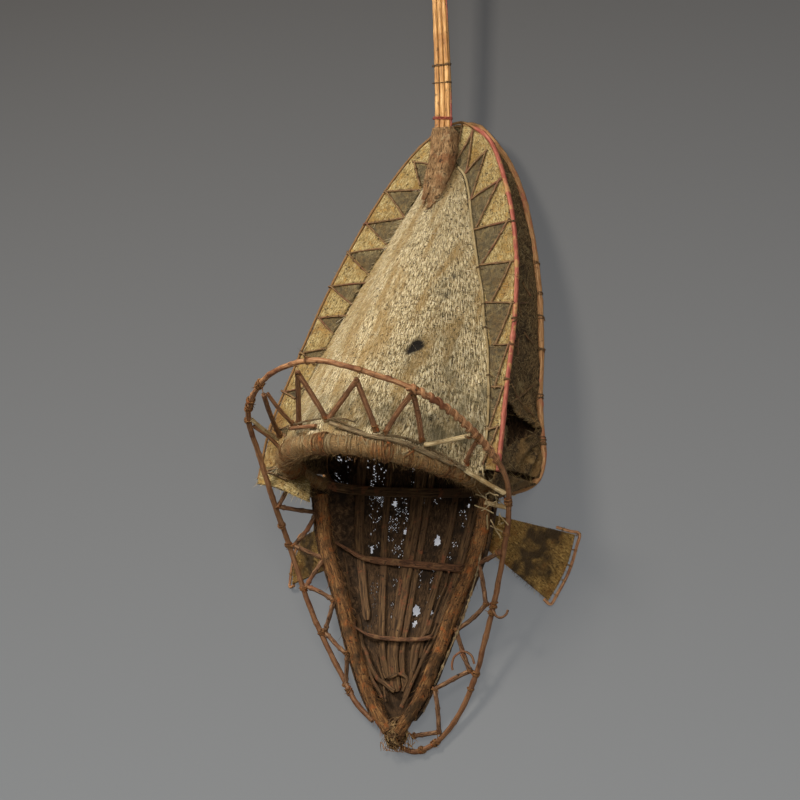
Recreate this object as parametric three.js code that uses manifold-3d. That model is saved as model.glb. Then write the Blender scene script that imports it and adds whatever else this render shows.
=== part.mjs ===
// Eharo mask: a barkcloth and cane headpiece, lying on its front with the head opening up.
// Millimetres, +Z up, +Y from the jaw towards the carrying stick. Left and right are -X and +X.
import * as THREE from 'three';
import { mergeVertices } from 'three/addons/utils/BufferGeometryUtils.js';
import Module from 'manifold-3d';

const wasm = await Module();
wasm.setup();

// Places are given from a point under the middle of the head opening; this shift puts the
// origin under the middle of the whole object's box.
const SHIFT_TO_BOX_MIDDLE = [-13.4, -112.4, 0];

// The gap left between pieces that touch, and the cloth's thickness.
const GAP = 0.3;
const CLOTH = 2.4;
// The cloth on the board stops this far from the middle of the cane that it is sewn to.
const EDGE_ROOM = 5;

// The back of the head board is a plane that falls towards the stick.
const BACK_HEIGHT = 102.3;
const BACK_FALL = 0.198;

// The outline of the back of the board, from its lower left corner over the point.
const BACK_OUTLINE = [
  [-154, -60], [-155, -5], [-137, 100], [-107, 216], [-60, 325], [-24, 366], [0, 376],
  [24, 367], [45, 351], [82, 286], [109, 212], [125, 130], [133, 50], [140, -8], [144, -46],
];
// The front outline, right half only, because it is the same on both sides.
const FRONT_HALF = [
  [136, -32], [140, -7], [136, 12], [128, 56], [123, 113], [107, 205], [75, 300], [43, 349],
];
const FRONT_POINT = [0, 381];
const FRONT_FOOT = [[103, -48], [126, -41]];
const BACK_CANE_RADIUS = 3;
const FRONT_CANE_RADIUS = 3.8;

// The pale hood: half widths where it meets the back of the board, by distance along Y.
const HOOD_FOOT = [[131, -40], [122, 22], [100, 108], [70, 192], [41, 262], [22, 306], [2, 327]];
const HOOD_LEFT_SHARE = 1.04;
const HOOD_RIGHT_SHARE = 0.98;
const HOOD_RISE = 115;
const HOOD_POINT = 328;
const HOOD_MOUTH = -38;
const HOOD_CROWN_POWER = 1.3;
const HOOD_FOOT_GAP = 1.5;

// Flat split canes on the border: a zigzag of triangles on each side, and a seam by the hood.
const TOOTH_WIDTH = 2.6;
const TOOTH_THICKNESS = 2;
const TEETH_LEFT = [
  [-28, 306], [-47, 328], [-34, 288], [-75, 292], [-49, 257], [-93, 252], [-61, 221], [-107, 215],
  [-76, 182], [-116, 175], [-92, 144], [-123, 135], [-107, 107], [-131, 94], [-119, 66], [-138, 46],
];
const TEETH_RIGHT = [
  [9, 344], [20, 360], [15, 328], [44, 333], [28, 309], [67, 298], [42, 277], [90, 248], [56, 240],
  [106, 199], [74, 196], [117, 148], [92, 149], [123, 100], [107, 100], [126, 49], [118, 49],
  [130, 6],
];
const SEAM = [[14, 317], [28, 301], [43, 264], [69, 197], [85, 154], [101, 104], [114, 51], [121, 20]];
const SEAM_RADIUS = 1.6;

// The front cloth is flat above; below, between the lift's sides and heights, it is drawn in.
const FRONT_FLOOR = -47;
const FRONT_FLOOR_SWEEP = 18;
const DRAWN_IN = 15.5;
const DRAWN_SIDES = [82, 122];
const DRAWN_HEIGHTS = [70, 190];

// The cloth between the two edges sinks in by this much; its torn corner is given as Y and Z.
const GUSSET_HOLLOW = 5;
const TEAR = [[31, 87], [49, 20], [12, 12]];

// The ring round the head opening: a round upper half and a squarer lower half.
const RING_MIDDLE = [-4, 98];
const RING_HALF_WIDTH = 107;
const RING_RISE = 124;
const RING_DROP = 74;
const RING_UPPER_POWER = 1.7;
const RING_LOWER_POWER = 3.4;
const RING_TILT = 0.06;
const RING_PLACE = -55.7;
const RING_RADIUS = 11;
const RING_LAP = THREE.MathUtils.degToRad(24);
const BAND_WIDTH = 11;
const BAND_THICKNESS = 3.6;

// The jaw: two limbs in a V, a flat floor of splints between them, and a cloth skin outside.
const LIMB_HALF = [[106, -66], [95, -124], [73, -178], [54, -232], [30, -286], [11, -314]];
const LIMB_RADIUS = 8.5;
const LIMB_HEIGHT = 69;
const LIMB_FALL = 0.157;
const JAW_TIP = -327;
const FLOOR_HEIGHT = 20.8;
const FLOOR_RISE = 0.0375;
const SKIN_END = -306;
const SKIN_LEAN = Math.tan(THREE.MathUtils.degToRad(30));
const LIMB_TO_SKIN = 9.8;
const LIMB_TO_SPLINT = 7.6;

// Cloth that closes the foot of the board: inner top, front corner and inner foot, right side.
const SLIVER = 0.04;
const FOOT_CLOTH_CORNERS = [[116, -68.5, 70], [133, -37, 8], [98, -53, 16]];
const FOOT_CLOTH_TOPS = { left: [-149, -61, 111], right: [139, -48, 108] };

// Splints along the floor, up through the ring: place across at each distance along Y.
const SPLINT_THICKNESS = 3;
const SPLINT_ROWS = [64, -41, -101, -150, -200, -238];
const SPLINTS = [
  { across: [-84, -77, -70, -58, -44], widths: [13, 9] },
  { across: [-44, -41, -37, -31, -25, -21], widths: [8, 8], tip: [-15, -262] },
  { across: [6, 5, 4, 2, 0, -4], widths: [28, 21], tip: [2, -276] },
  { across: [50, 48, 45, 38, 30, 24], widths: [9, 8] },
  { across: [77, 74, 68, 60, 46], widths: [12, 9] },
];
// Cross bands over the splints, from limb to limb: X, Y and the lift off the splints.
const CROSS_BAND_THICKNESS = 3;
const UPPER_BAND_WIDTH = 8.5;
const UPPER_BAND = [
  [-88, -116, 15], [-78, -122, 4], [-60, -130, 0], [-6, -135, 0], [45, -138, 0], [68, -139, 2],
  [80, -138, 13],
];
const LOWER_BAND_WIDTH = 5;
const LOWER_BAND = [
  [-59, -206, 7], [-49, -212, 2], [-36, -217, 0], [-4, -220, 0], [32, -218, 0], [45, -215, 4],
];

// The knot of straw and fibre that ties the limbs at the tip.
const TIP_MIDDLE = [1, -321, 13.5];
const TIP_RADII = [19, 17, 12.5];

// The frill hoop that stands round the head ring and the jaw, from the left limb over the top.
const HOOP_PATH = [
  [-31, -309, 13], [-54, -291, 13.5], [-75, -262, 16], [-113, -190, 39], [-134, -125, 67],
  [-136, -78, 111], [-140, -36, 141], [-130, -6, 186], [-89, 17, 235], [-41, 30, 265], [6, 34, 275],
  [65, 24, 251], [110, 10, 215], [140, -18, 162], [150, -50, 107], [146, -84, 83], [135, -126, 62],
  [124, -164, 47.5], [107, -214, 30], [89, -265, 16], [68, -304, 8], [47, -327, 5.5],
  [23, -338, 4.5], [4, -335, 4.5],
];
const HOOP_RADIUS = 3;

// Sticks that brace the hoop against the foot of the hood; the first three are folded.
const FOLDED_RADIUS = 2.7;
const FOLDED_STRUTS = [
  [[-60, -13, 192], [-29, 26, 254], [-13, -13, 214]],
  [[-6, -13, 218], [37, 21, 243], [44, -22, 205]],
  [[54, -23, 199], [94, 12, 222], [81, -25, 171]],
];
const STRUTS = [
  { name: 'strut_left_1', path: [[-87, 9, 225], [-115, -16, 143]], radius: 2.8 },
  { name: 'strut_left_2', path: [[-79, 9, 229], [-76, -12, 178]], radius: 2.2 },
  { name: 'strut_left_3', path: [[-127, -8, 181], [-119, -19, 139]], radius: 2.3, pale: true },
  { name: 'strut_left_4', path: [[-129, -14, 172], [-118, -31, 129]], radius: 2.3 },
  { name: 'strut_right_1', path: [[86, -31, 169], [131, -19, 160]], radius: 2.5, pale: true },
  { name: 'strut_right_2', path: [[136, -25, 152], [113, -41, 126]], radius: 2.5 },
  { name: 'strut_right_3', path: [[115, -50, 128], [146, -67, 97]], radius: 2.7, pale: true },
  { name: 'strut_right_4', path: [[121, -76, 86], [143, -80, 85]], radius: 2.5, pale: true },
  {
    name: 'hood_foot_cane_left', path: [[-72, -19, 189], [-46, -22, 209], [-20, -23, 221]],
    radius: 2.2,
  },
  {
    name: 'hood_foot_cane_right',
    path: [[-2, -20, 223], [40, -31, 213], [73, -34, 188], [108, -47, 147]],
    radius: 2.4,
    pale: true,
  },
];

// Sticks that zigzag between the hoop and each limb, from the ring to the tip.
const LACE_RADIUS = 2.6;
const LACE_LEFT = [
  [-119, -58, 103], [-131, -88, 102], [-110, -85, 56], [-128, -125, 66], [-97, -136, 48],
  [-116, -168, 48], [-83, -182, 40], [-96, -215, 29], [-63, -239, 31.5], [-70, -271, 15],
];
const LACE_RIGHT = [
  [130, -125, 63], [98, -135, 48], [110, -178, 42], [74, -207, 36.5], [87, -249, 19.5],
  [50, -271, 26.5], [51, -316, 9], [20, -322, 9],
];

// Fan-shaped cloth ears that hang out from under the limbs, and the thin cane round each rim.
const EAR_THICKNESS = 2.6;
const EAR_SWELL = 0.06;
const EARS = {
  left: { root: [[-101, -90, 34], [-91, -140, 32]], rim: [[-153, -107, 13], [-162, -160, 7]] },
  right: { root: [[103, -79, 33], [94, -114, 33]], rim: [[188, -93, 4.5], [165, -166, 6]] },
};
const RIM_RADIUS = 1.7;
const RIM_ROOM = 1.4;

// The carrying stick: split canes side by side, from the hood over the point of the board.
const STICK_PATH = [[0, 292, 60], [-6, 325, 51], [-12, 367, 45], [-16, 416, 50], [-35, 565, 62]];
const STRIP_THICKNESS = 3.6;
const FOOT_PITCH = 7;
const TOP_PITCH = 5.3;
// Each strip's place and width, counted in the pitch from strip to strip.
const STICK_STRIPS = [
  { name: 'stick_left', place: -1.05, width: 0.93 },
  { name: 'stick_middle', place: 0, width: 0.93 },
  { name: 'stick_right', place: 1.05, width: 0.93 },
  { name: 'stick_red', place: 1.75, width: 0.25, red: true },
];
// Barkcloth bound over the foot of the stick: distance along Y, width and place across.
const PATCH_ROWS = [[262, 12, 4], [285, 24, -2], [310, 31, -5], [335, 34, -7], [374, 25, -13]];

const backHeight = (y) => BACK_HEIGHT - BACK_FALL * y;
const limbHeight = (y) => LIMB_HEIGHT + LIMB_FALL * y;
const floorHeight = (y) => FLOOR_HEIGHT - FLOOR_RISE * y;

function finish(color, roughness) {
  return new THREE.MeshStandardMaterial({ color, roughness, metalness: 0 });
}
const PALE_CLOTH = finish(0xb5a67e, 0.95);
const TAN_CLOTH = finish(0x9c8250, 0.95);
const DARK_CLOTH = finish(0x4a3f2c, 0.95);
const BROWN_CLOTH = finish(0x3e2e1d, 0.95);
const BARE_CANE = finish(0xa8824f, 0.6);
const BROWN_CANE = finish(0x6a4029, 0.7);
const BARK = finish(0x5b3a20, 0.9);
const RED_CANE = finish(0xa4493c, 0.7);
const SPLINT_WOOD = finish(0x4b3421, 0.8);
const FIBRE = finish(0x7c5c39, 0.95);
const STRAW = finish(0x9d8657, 0.95);

const vector = (p) => new THREE.Vector3(...p);
const mirrored = (p) => [-p[0], ...p.slice(1)];

function curveThrough(points) {
  return new THREE.CatmullRomCurve3(points.map(vector), false, 'centripetal');
}

// A smooth function through [value, place] pairs, looked up by place.
function graphThrough(pairs) {
  const sorted = [...pairs].sort((a, b) => a[1] - b[1]);
  return (place) => {
    const last = sorted.length - 2;
    const found = sorted.findIndex((pair, i) => i > 0 && place <= pair[1]) - 1;
    const i = found < 0 ? (place < sorted[0][1] ? 0 : last) : found;
    const [low, high] = [sorted[i], sorted[i + 1]];
    const before = sorted[i - 1] ?? low;
    const after = sorted[i + 2] ?? high;
    const step = high[1] - low[1];
    const t = (place - low[1]) / step;
    if (t < 0 || t > 1) {
      return low[0] + (high[0] - low[0]) * t;
    }
    const slopeLow = ((high[0] - before[0]) / (high[1] - before[1])) * step;
    const slopeHigh = ((after[0] - low[0]) / (after[1] - low[1])) * step;
    const t2 = t * t;
    const t3 = t2 * t;
    return (2 * t3 - 3 * t2 + 1) * low[0] + (t3 - 2 * t2 + t) * slopeLow
      + (3 * t2 - 2 * t3) * high[0] + (t3 - t2) * slopeHigh;
  };
}

// A closed geometry as a solid that can be joined and cut.
function solidOf(geometry) {
  geometry.deleteAttribute('normal');
  geometry.deleteAttribute('uv');
  const merged = mergeVertices(geometry, 1e-3);
  return new wasm.Manifold(new wasm.Mesh({
    numProp: 3,
    vertProperties: new Float32Array(merged.attributes.position.array),
    triVerts: new Uint32Array(merged.index.array),
  }));
}

// A round cane along a path.
function cane(points, radius, steps = 4, sides = 6) {
  const section = new THREE.Shape();
  for (let i = 0; i < sides; i += 1) {
    const angle = (i / sides) * 2 * Math.PI;
    const corner = [radius * Math.cos(angle), radius * Math.sin(angle)];
    if (i === 0) {
      section.moveTo(...corner);
    } else {
      section.lineTo(...corner);
    }
  }
  return solidOf(new THREE.ExtrudeGeometry(section, {
    steps,
    extrudePath: curveThrough(points),
    bevelEnabled: false,
  }));
}

// Straight sticks from corner to corner, joined into one zigzag.
function zigzag(corners, radius, sides = 4) {
  let joined = null;
  for (let i = 1; i < corners.length; i += 1) {
    const start = vector(corners[i - 1]);
    const end = vector(corners[i]);
    const lap = end.clone().sub(start).setLength(radius * 0.7);
    const rod = cane([start.sub(lap).toArray(), end.add(lap).toArray()], radius, 1, sides);
    joined = joined === null ? rod : joined.add(rod);
  }
  return joined;
}

// A flat strip along a path: its width lies along one direction all the way.
function strip(points, direction, widthAt, thickness, steps) {
  const path = curveThrough(points);
  const box = new THREE.BoxGeometry(1, 1, 1, 1, 1, steps);
  const place = box.attributes.position;
  const along = vector(direction).normalize();
  for (let i = 0; i < place.count; i += 1) {
    const share = place.getZ(i) + 0.5;
    const tangent = path.getTangentAt(share);
    const across = along.clone().addScaledVector(tangent, -along.dot(tangent)).normalize();
    const upward = tangent.clone().cross(across);
    const point = path.getPointAt(share)
      .addScaledVector(across, place.getX(i) * widthAt(share))
      .addScaledVector(upward, place.getY(i) * thickness);
    place.setXYZ(i, point.x, point.y, point.z);
  }
  return solidOf(box);
}

// A wall of even thickness on a surface(u, v), built inwards from it, or grown on both faces.
function wall(surface, thickness, across, along, grow = 0) {
  const small = 1e-3;
  const box = new THREE.BoxGeometry(1, 1, 1, across, along, 1);
  const place = box.attributes.position;
  for (let i = 0; i < place.count; i += 1) {
    const u = place.getX(i) + 0.5;
    const v = place.getY(i) + 0.5;
    const uLow = Math.max(u - small, 0);
    const vLow = Math.max(v - small, 0);
    const alongU = surface(Math.min(u + small, 1), v).sub(surface(uLow, v));
    const alongV = surface(u, Math.min(v + small, 1)).sub(surface(u, vLow));
    const normal = alongU.cross(alongV).normalize();
    const depth = grow + (place.getZ(i) - 0.5) * (thickness + 2 * grow);
    const point = surface(u, v).addScaledVector(normal, depth);
    place.setXYZ(i, point.x, point.y, point.z);
  }
  return solidOf(box);
}

// What is left of a solid, in one piece, once its neighbours have their room.
function fitted(solid, ...neighbours) {
  const rest = neighbours.reduce((left, make) => left.subtract(make(GAP)), solid);
  return rest.decompose().sort((a, b) => b.volume() - a.volume())[0];
}

const mask = new THREE.Group();
mask.position.set(...SHIFT_TO_BOX_MIDDLE);

function addPiece(name, solid, finish) {
  const { vertProperties, triVerts } = solid.getMesh();
  const geometry = new THREE.BufferGeometry();
  geometry.setAttribute('position', new THREE.BufferAttribute(vertProperties, 3));
  geometry.setIndex(new THREE.BufferAttribute(triVerts, 1));
  geometry.computeVertexNormals();
  const mesh = new THREE.Mesh(geometry, finish);
  mesh.name = name;
  mask.add(mesh);
}


// Edges of the head board.
const BACK_POINTS = BACK_OUTLINE.map(([x, y]) => [x, y, backHeight(y)]);
const backEdge = curveThrough(BACK_POINTS);
const frontOutline = [
  ...FRONT_HALF.map(mirrored), FRONT_POINT, ...[...FRONT_HALF].reverse(),
].map(([x, y]) => [x, y, FRONT_CANE_RADIUS]);
const frontEdge = curveThrough(frontOutline);
const frontCanePath = [
  ...FRONT_FOOT.map(mirrored), ...frontOutline.map(([x, y]) => [x, y]), ...[...FRONT_FOOT].reverse(),
].map(([x, y]) => [x, y, FRONT_CANE_RADIUS]);
const backCane = (grow) => cane(BACK_POINTS, BACK_CANE_RADIUS + grow, 34, 5);
const frontCane = (grow) => cane(frontCanePath, FRONT_CANE_RADIUS + grow, 34)
  .trimByPlane([0, 0, 1], 0);

// The head ring, at an angle from its right side over the top.
function ringPoint(angle, side = 1) {
  const upper = Math.sin(angle) >= 0;
  const power = 2 / (upper ? RING_UPPER_POWER : RING_LOWER_POWER);
  const reach = upper ? RING_RISE : RING_DROP;
  const cos = Math.cos(angle);
  const x = RING_MIDDLE[0] + side * RING_HALF_WIDTH * Math.sign(cos) * Math.abs(cos) ** power;
  const z = RING_MIDDLE[1] + Math.sign(Math.sin(angle)) * reach * Math.abs(Math.sin(angle)) ** power;
  return [x, RING_PLACE + RING_TILT * z, z];
}
function ringArc(from, to, count) {
  return Array.from({ length: count }, (_, i) => ringPoint(from + ((to - from) * i) / (count - 1)));
}
const headRing = (grow) => cane(
  ringArc(-RING_LAP, Math.PI + RING_LAP, 23),
  RING_RADIUS + grow,
  24,
  8,
);
const ringBand = (grow) => strip(
  ringArc(Math.PI + RING_LAP * 0.9, 2 * Math.PI - RING_LAP * 0.9, 21),
  [0, 1, 0],
  () => BAND_WIDTH + 2 * grow,
  BAND_THICKNESS + 2 * grow,
  18,
);

// The limbs of the jaw.
const limbHalf = graphThrough([...LIMB_HALF, [4, JAW_TIP]]);
const limb = (side) => (grow) => cane(
  LIMB_HALF.map(([x, y]) => [side * x, y, limbHeight(y)]),
  LIMB_RADIUS + grow,
  12,
  7,
);
const hoop = (grow) => cane(HOOP_PATH, HOOP_RADIUS + grow, 50, 5);

addPiece('back_edge_cane', fitted(backCane(0)), RED_CANE);
addPiece('front_edge_cane', fitted(frontCane(0)), BARE_CANE);
addPiece('head_ring', headRing(0), FIBRE);
addPiece('ring_band', fitted(ringBand(0), headRing), BARK);
addPiece('limb_left', fitted(limb(-1)(0), headRing), BARK);
addPiece('limb_right', fitted(limb(1)(0), headRing, limb(-1)), BARK);
addPiece('frill_hoop', fitted(hoop(0), limb(-1), limb(1)), BROWN_CANE);

// The pale hood, and the border between its foot and the edge of the board.
const hoodHalf = graphThrough(HOOD_FOOT);
const hoodHeight = (y) => (HOOD_RISE * (HOOD_POINT - y)) / (HOOD_POINT - HOOD_MOUTH);
function hoodFoot(side, y) {
  return side * hoodHalf(y) * (side < 0 ? HOOD_LEFT_SHARE : HOOD_RIGHT_SHARE);
}
function hoodSurface(x, y) {
  const t = Math.min(Math.abs(x / hoodFoot(Math.sign(x) || 1, y)), 1);
  return backHeight(y) + Math.max(hoodHeight(y), 0) * (1 - t * t) ** HOOD_CROWN_POWER;
}
const hood = (grow) => wall((u, v) => {
  const y = HOOD_MOUTH + (HOOD_POINT - 3 - HOOD_MOUTH) * v;
  const t = 2 * u - 1;
  const side = t < 0 ? -1 : 1;
  const x = Math.abs(t) * (hoodFoot(side, y) - side * Math.min(HOOD_FOOT_GAP, hoodHalf(y) / 2));
  return new THREE.Vector3(x, y, hoodSurface(x, y));
}, CLOTH, 12, 8, grow);
addPiece('hood_cloth', fitted(hood(0), headRing), PALE_CLOTH);

const borderInner = curveThrough([
  ...[-44, 22, 108, 192, 262, 306].map((y) => [hoodFoot(-1, y), y, backHeight(y)]),
  [0, HOOD_POINT + 2, backHeight(HOOD_POINT)],
  ...[306, 262, 192, 108, 22, -44].map((y) => [hoodFoot(1, y), y, backHeight(y)]),
]);
const border = wall((u, v) => {
  const p = backEdge.getPointAt(u);
  p.lerp(borderInner.getPointAt(u), EDGE_ROOM / p.distanceTo(borderInner.getPointAt(u)));
  p.lerp(borderInner.getPointAt(u), 1 - v);
  return new THREE.Vector3(p.x, p.y, backHeight(p.y) + CLOTH / 2);
}, CLOTH, 36, 1);
addPiece('border_cloth', border, TAN_CLOTH);

// A flat zigzag of one width, as an outline with mitred corners.
function zigzagOutline(corners, width) {
  const points = corners.map(([x, y]) => new THREE.Vector2(x, y));
  const sides = [[], []];
  points.forEach((point, i) => {
    const before = point.clone().sub(points[i - 1] ?? point).normalize();
    const after = (points[i + 1] ?? point).clone().sub(point).normalize();
    const middle = before.clone().add(after);
    const direction = middle.length() > 0.2 ? middle.normalize() : before;
    const across = new THREE.Vector2(-direction.y, direction.x);
    const lean = Math.max(Math.abs(across.dot(new THREE.Vector2(-after.y, after.x))), 0.45);
    const half = i === points.length - 1 ? width / 2 : width / 2 / lean;
    sides[0].push(point.clone().addScaledVector(across, half));
    sides[1].unshift(point.clone().addScaledVector(across, -half));
  });
  return new THREE.Shape([...sides[0], ...sides[1]]);
}

const teeth = (corners) => () => {
  const outline = zigzagOutline(corners, TOOTH_WIDTH);
  const flat = new THREE.ExtrudeGeometry(outline, { depth: TOOTH_THICKNESS, bevelEnabled: false });
  const place = flat.attributes.position;
  for (let i = 0; i < place.count; i += 1) {
    place.setZ(i, place.getZ(i) + backHeight(place.getY(i)) + CLOTH / 2 + GAP);
  }
  return solidOf(flat);
};
addPiece('teeth_left', fitted(teeth(TEETH_LEFT)(), hood, backCane), BROWN_CANE);
addPiece('teeth_right', fitted(teeth(TEETH_RIGHT)(), hood, backCane), BROWN_CANE);
const seam = () => cane(
  SEAM.map(([x, y]) => [x, y, backHeight(y) + CLOTH / 2 + GAP + SEAM_RADIUS]),
  SEAM_RADIUS,
  11,
  5,
);
addPiece('seam_cane', fitted(seam(), hood, teeth(TEETH_RIGHT)), BARE_CANE);

// The cloth on the front of the board is flat above and drawn in towards the splints below.
const frontHalf = graphThrough([...FRONT_HALF, [1, FRONT_POINT[1]]]);
function frontLift(x, y) {
  const inward = 1 - THREE.MathUtils.smoothstep(Math.abs(x), ...DRAWN_SIDES);
  const down = 1 - THREE.MathUtils.smoothstep(y, ...DRAWN_HEIGHTS);
  return DRAWN_IN * inward * down;
}
const frontCloth = () => wall((u, v) => {
  const t = 2 * u - 1;
  const low = FRONT_FLOOR + FRONT_FLOOR_SWEEP * t ** 4;
  const y = low + (FRONT_POINT[1] - 2 * EDGE_ROOM - low) * v;
  const x = t * Math.max(frontHalf(y) - EDGE_ROOM - FRONT_CANE_RADIUS / 2, 2);
  return new THREE.Vector3(x, y, CLOTH + frontLift(x, y));
}, CLOTH, 10, 9);
addPiece('front_cloth', fitted(frontCloth(), ringBand), BROWN_CLOTH);

// The cloth between the two edges, with the torn corner on the right.
const gusset = wall((u, v) => {
  const back = backEdge.getPointAt(u);
  const front = frontEdge.getPointAt(u);
  const room = EDGE_ROOM / back.distanceTo(front);
  const share = room + (1 - 2 * room) * v;
  const p = back.lerp(front, share);
  const middle = new THREE.Vector3(0, 120, p.z);
  return p.add(middle.sub(p).setLength(GUSSET_HOLLOW * Math.sin(Math.PI * share)));
}, CLOTH, 34, 3);
function tearPrism() {
  const outline = new THREE.Shape(TEAR.map(([y, z]) => new THREE.Vector2(y, z)));
  const prism = new THREE.ExtrudeGeometry(outline, { depth: 60, bevelEnabled: false });
  prism.applyMatrix4(new THREE.Matrix4().makeBasis(
    new THREE.Vector3(0, 1, 0), new THREE.Vector3(0, 0, 1), new THREE.Vector3(1, 0, 0),
  ).setPosition(105, 0, 0));
  return solidOf(prism);
}
addPiece('gusset_cloth', fitted(gusset.subtract(tearPrism()), backCane, frontCane), DARK_CLOTH);

// The jaw's skin: flat under the splints, then up and out round the limbs.
const skinFloor = (y) => Math.min(
  floorHeight(y) - SPLINT_THICKNESS / 2 - 2 * GAP,
  limbHeight(y) - LIMB_TO_SKIN,
);
const jawSkin = (grow) => wall((u, v) => {
  const y = SKIN_END - grow + (FRONT_FLOOR - 2 - SKIN_END) * v;
  const t = 1 - 2 * u;
  const side = Math.sign(t) || 1;
  const low = skinFloor(y) - CLOTH;
  const rise = limbHeight(y) - low;
  const half = limbHalf(y);
  const floorEnd = Math.max(half - SKIN_LEAN * rise - 2, 3);
  const share = Math.abs(t) * 2;
  if (share <= 1) {
    return new THREE.Vector3(side * floorEnd * share, y, low);
  }
  const s = share - 1;
  const turn = [half + 14, Math.max(limbHeight(y) - 15, low + 0.2 * rise)];
  const rim = [half + LIMB_RADIUS + CLOTH + 1, limbHeight(y) + 1];
  const mix = (from, by, to) => (1 - s) ** 2 * from + 2 * s * (1 - s) * by + s * s * to;
  return new THREE.Vector3(
    side * mix(floorEnd, turn[0], rim[0]), y, mix(low, turn[1], rim[1]),
  );
}, CLOTH, 12, 6, grow);
addPiece(
  'jaw_skin',
  fitted(jawSkin(0), frontCloth, ringBand, headRing, limb(-1), limb(1)),
  BROWN_CLOTH,
);

// What touches the rim of the skin keeps clear of it both as it is and grown.
const skinWithRoom = (grow) => jawSkin(2 * grow).add(jawSkin(0));

// Cloth that closes the foot of the board on each side, from its corners to the ring and limb.
function footCloth(side, corner) {
  const others = FOOT_CLOTH_CORNERS.map(([x, y, z]) => [side * x, y, z]);
  const [a, b, c, d] = [corner, ...others].map(vector);
  const surface = (u, v) => a.clone().lerp(b, u).lerp(c.clone().lerp(d, u), v);
  const outward = side < 0 ? surface : (u, v) => surface(1 - u, v);
  return fitted(
    wall(outward, CLOTH, 2, 2), headRing, ringBand, limb(side), backCane, frontCane, skinWithRoom,
  ).simplify(SLIVER);
}
addPiece('foot_cloth_left', footCloth(-1, FOOT_CLOTH_TOPS.left), DARK_CLOTH);
addPiece('foot_cloth_right', footCloth(1, FOOT_CLOTH_TOPS.right), DARK_CLOTH);

// The splints on the jaw's floor.
const splintTop = (y) => Math.min(floorHeight(y), limbHeight(y) - LIMB_TO_SPLINT);
const splint = (index) => (grow) => {
  const { across, widths, tip } = SPLINTS[index];
  const route = across.map((x, i) => [x, SPLINT_ROWS[i]]);
  if (tip) {
    route.push(tip);
  }
  return strip(
    route.map(([x, y]) => [x, y, splintTop(y)]),
    [1, 0, 0],
    (share) => widths[0] + (widths[1] - widths[0]) * share + 2 * grow,
    SPLINT_THICKNESS + 2 * grow,
    8,
  );
};
const splintMakers = SPLINTS.map((_, index) => splint(index));
splintMakers.forEach((make, index) => {
  const beside = index === 0 ? [limb(-1)] : [limb(1)];
  addPiece(
    `splint_${index + 1}`,
    fitted(make(0), ringBand, frontCloth, jawSkin, ...beside),
    SPLINT_WOOD,
  );
});

// Two cross bands lie over the splints, from limb to limb.
const bandLift = (SPLINT_THICKNESS + CROSS_BAND_THICKNESS) / 2 + GAP;
function crossBand(route, width) {
  const path = route.map(([x, y, lift]) => [x, y, floorHeight(y) + bandLift + lift]);
  const thickness = (grow) => CROSS_BAND_THICKNESS + 2 * grow;
  return (grow) => strip(path, [0, 1, 0], () => width + 2 * grow, thickness(grow), 10);
}
const upperBand = crossBand(UPPER_BAND, UPPER_BAND_WIDTH);
const lowerBand = crossBand(LOWER_BAND, LOWER_BAND_WIDTH);
for (const [name, make] of [['cross_band_upper', upperBand], ['cross_band_lower', lowerBand]]) {
  addPiece(name, fitted(make(0), limb(-1), limb(1), jawSkin, ...splintMakers), BARK);
}

const tipKnot = () => {
  const ball = new THREE.SphereGeometry(1, 10, 6);
  ball.scale(...TIP_RADII);
  ball.translate(...TIP_MIDDLE);
  return solidOf(ball);
};
addPiece('tip_knot', fitted(tipKnot(), limb(-1), limb(1), jawSkin, hoop), STRAW);

// The sticks that brace the hoop.
const bracing = (solid) => fitted(solid, hoop, hood, headRing, backCane);
const foldedStrut = (corners) => (grow) => zigzag(corners, FOLDED_RADIUS + grow);
FOLDED_STRUTS.forEach((corners, index) => {
  addPiece(`folded_strut_${index + 1}`, bracing(foldedStrut(corners)(0)), BROWN_CANE);
});
const otherStruts = [];
for (const { name, path, radius, pale } of STRUTS) {
  const make = (grow) => cane(path, radius + grow, path.length === 2 ? 1 : 6);
  const beside = [limb(1), ...FOLDED_STRUTS.map(foldedStrut), ...otherStruts];
  addPiece(name, fitted(bracing(make(0)), ...beside), pale ? BARE_CANE : BROWN_CANE);
  otherStruts.push(make);
}

// The zigzag sticks between the hoop and the limbs.
const lace = (corners) => fitted(
  zigzag(corners, LACE_RADIUS), hoop, limb(-1), limb(1), headRing, tipKnot, skinWithRoom,
);
addPiece('lacing_left', lace(LACE_LEFT), BROWN_CANE);
addPiece('lacing_right', lace(LACE_RIGHT), BROWN_CANE);

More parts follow.
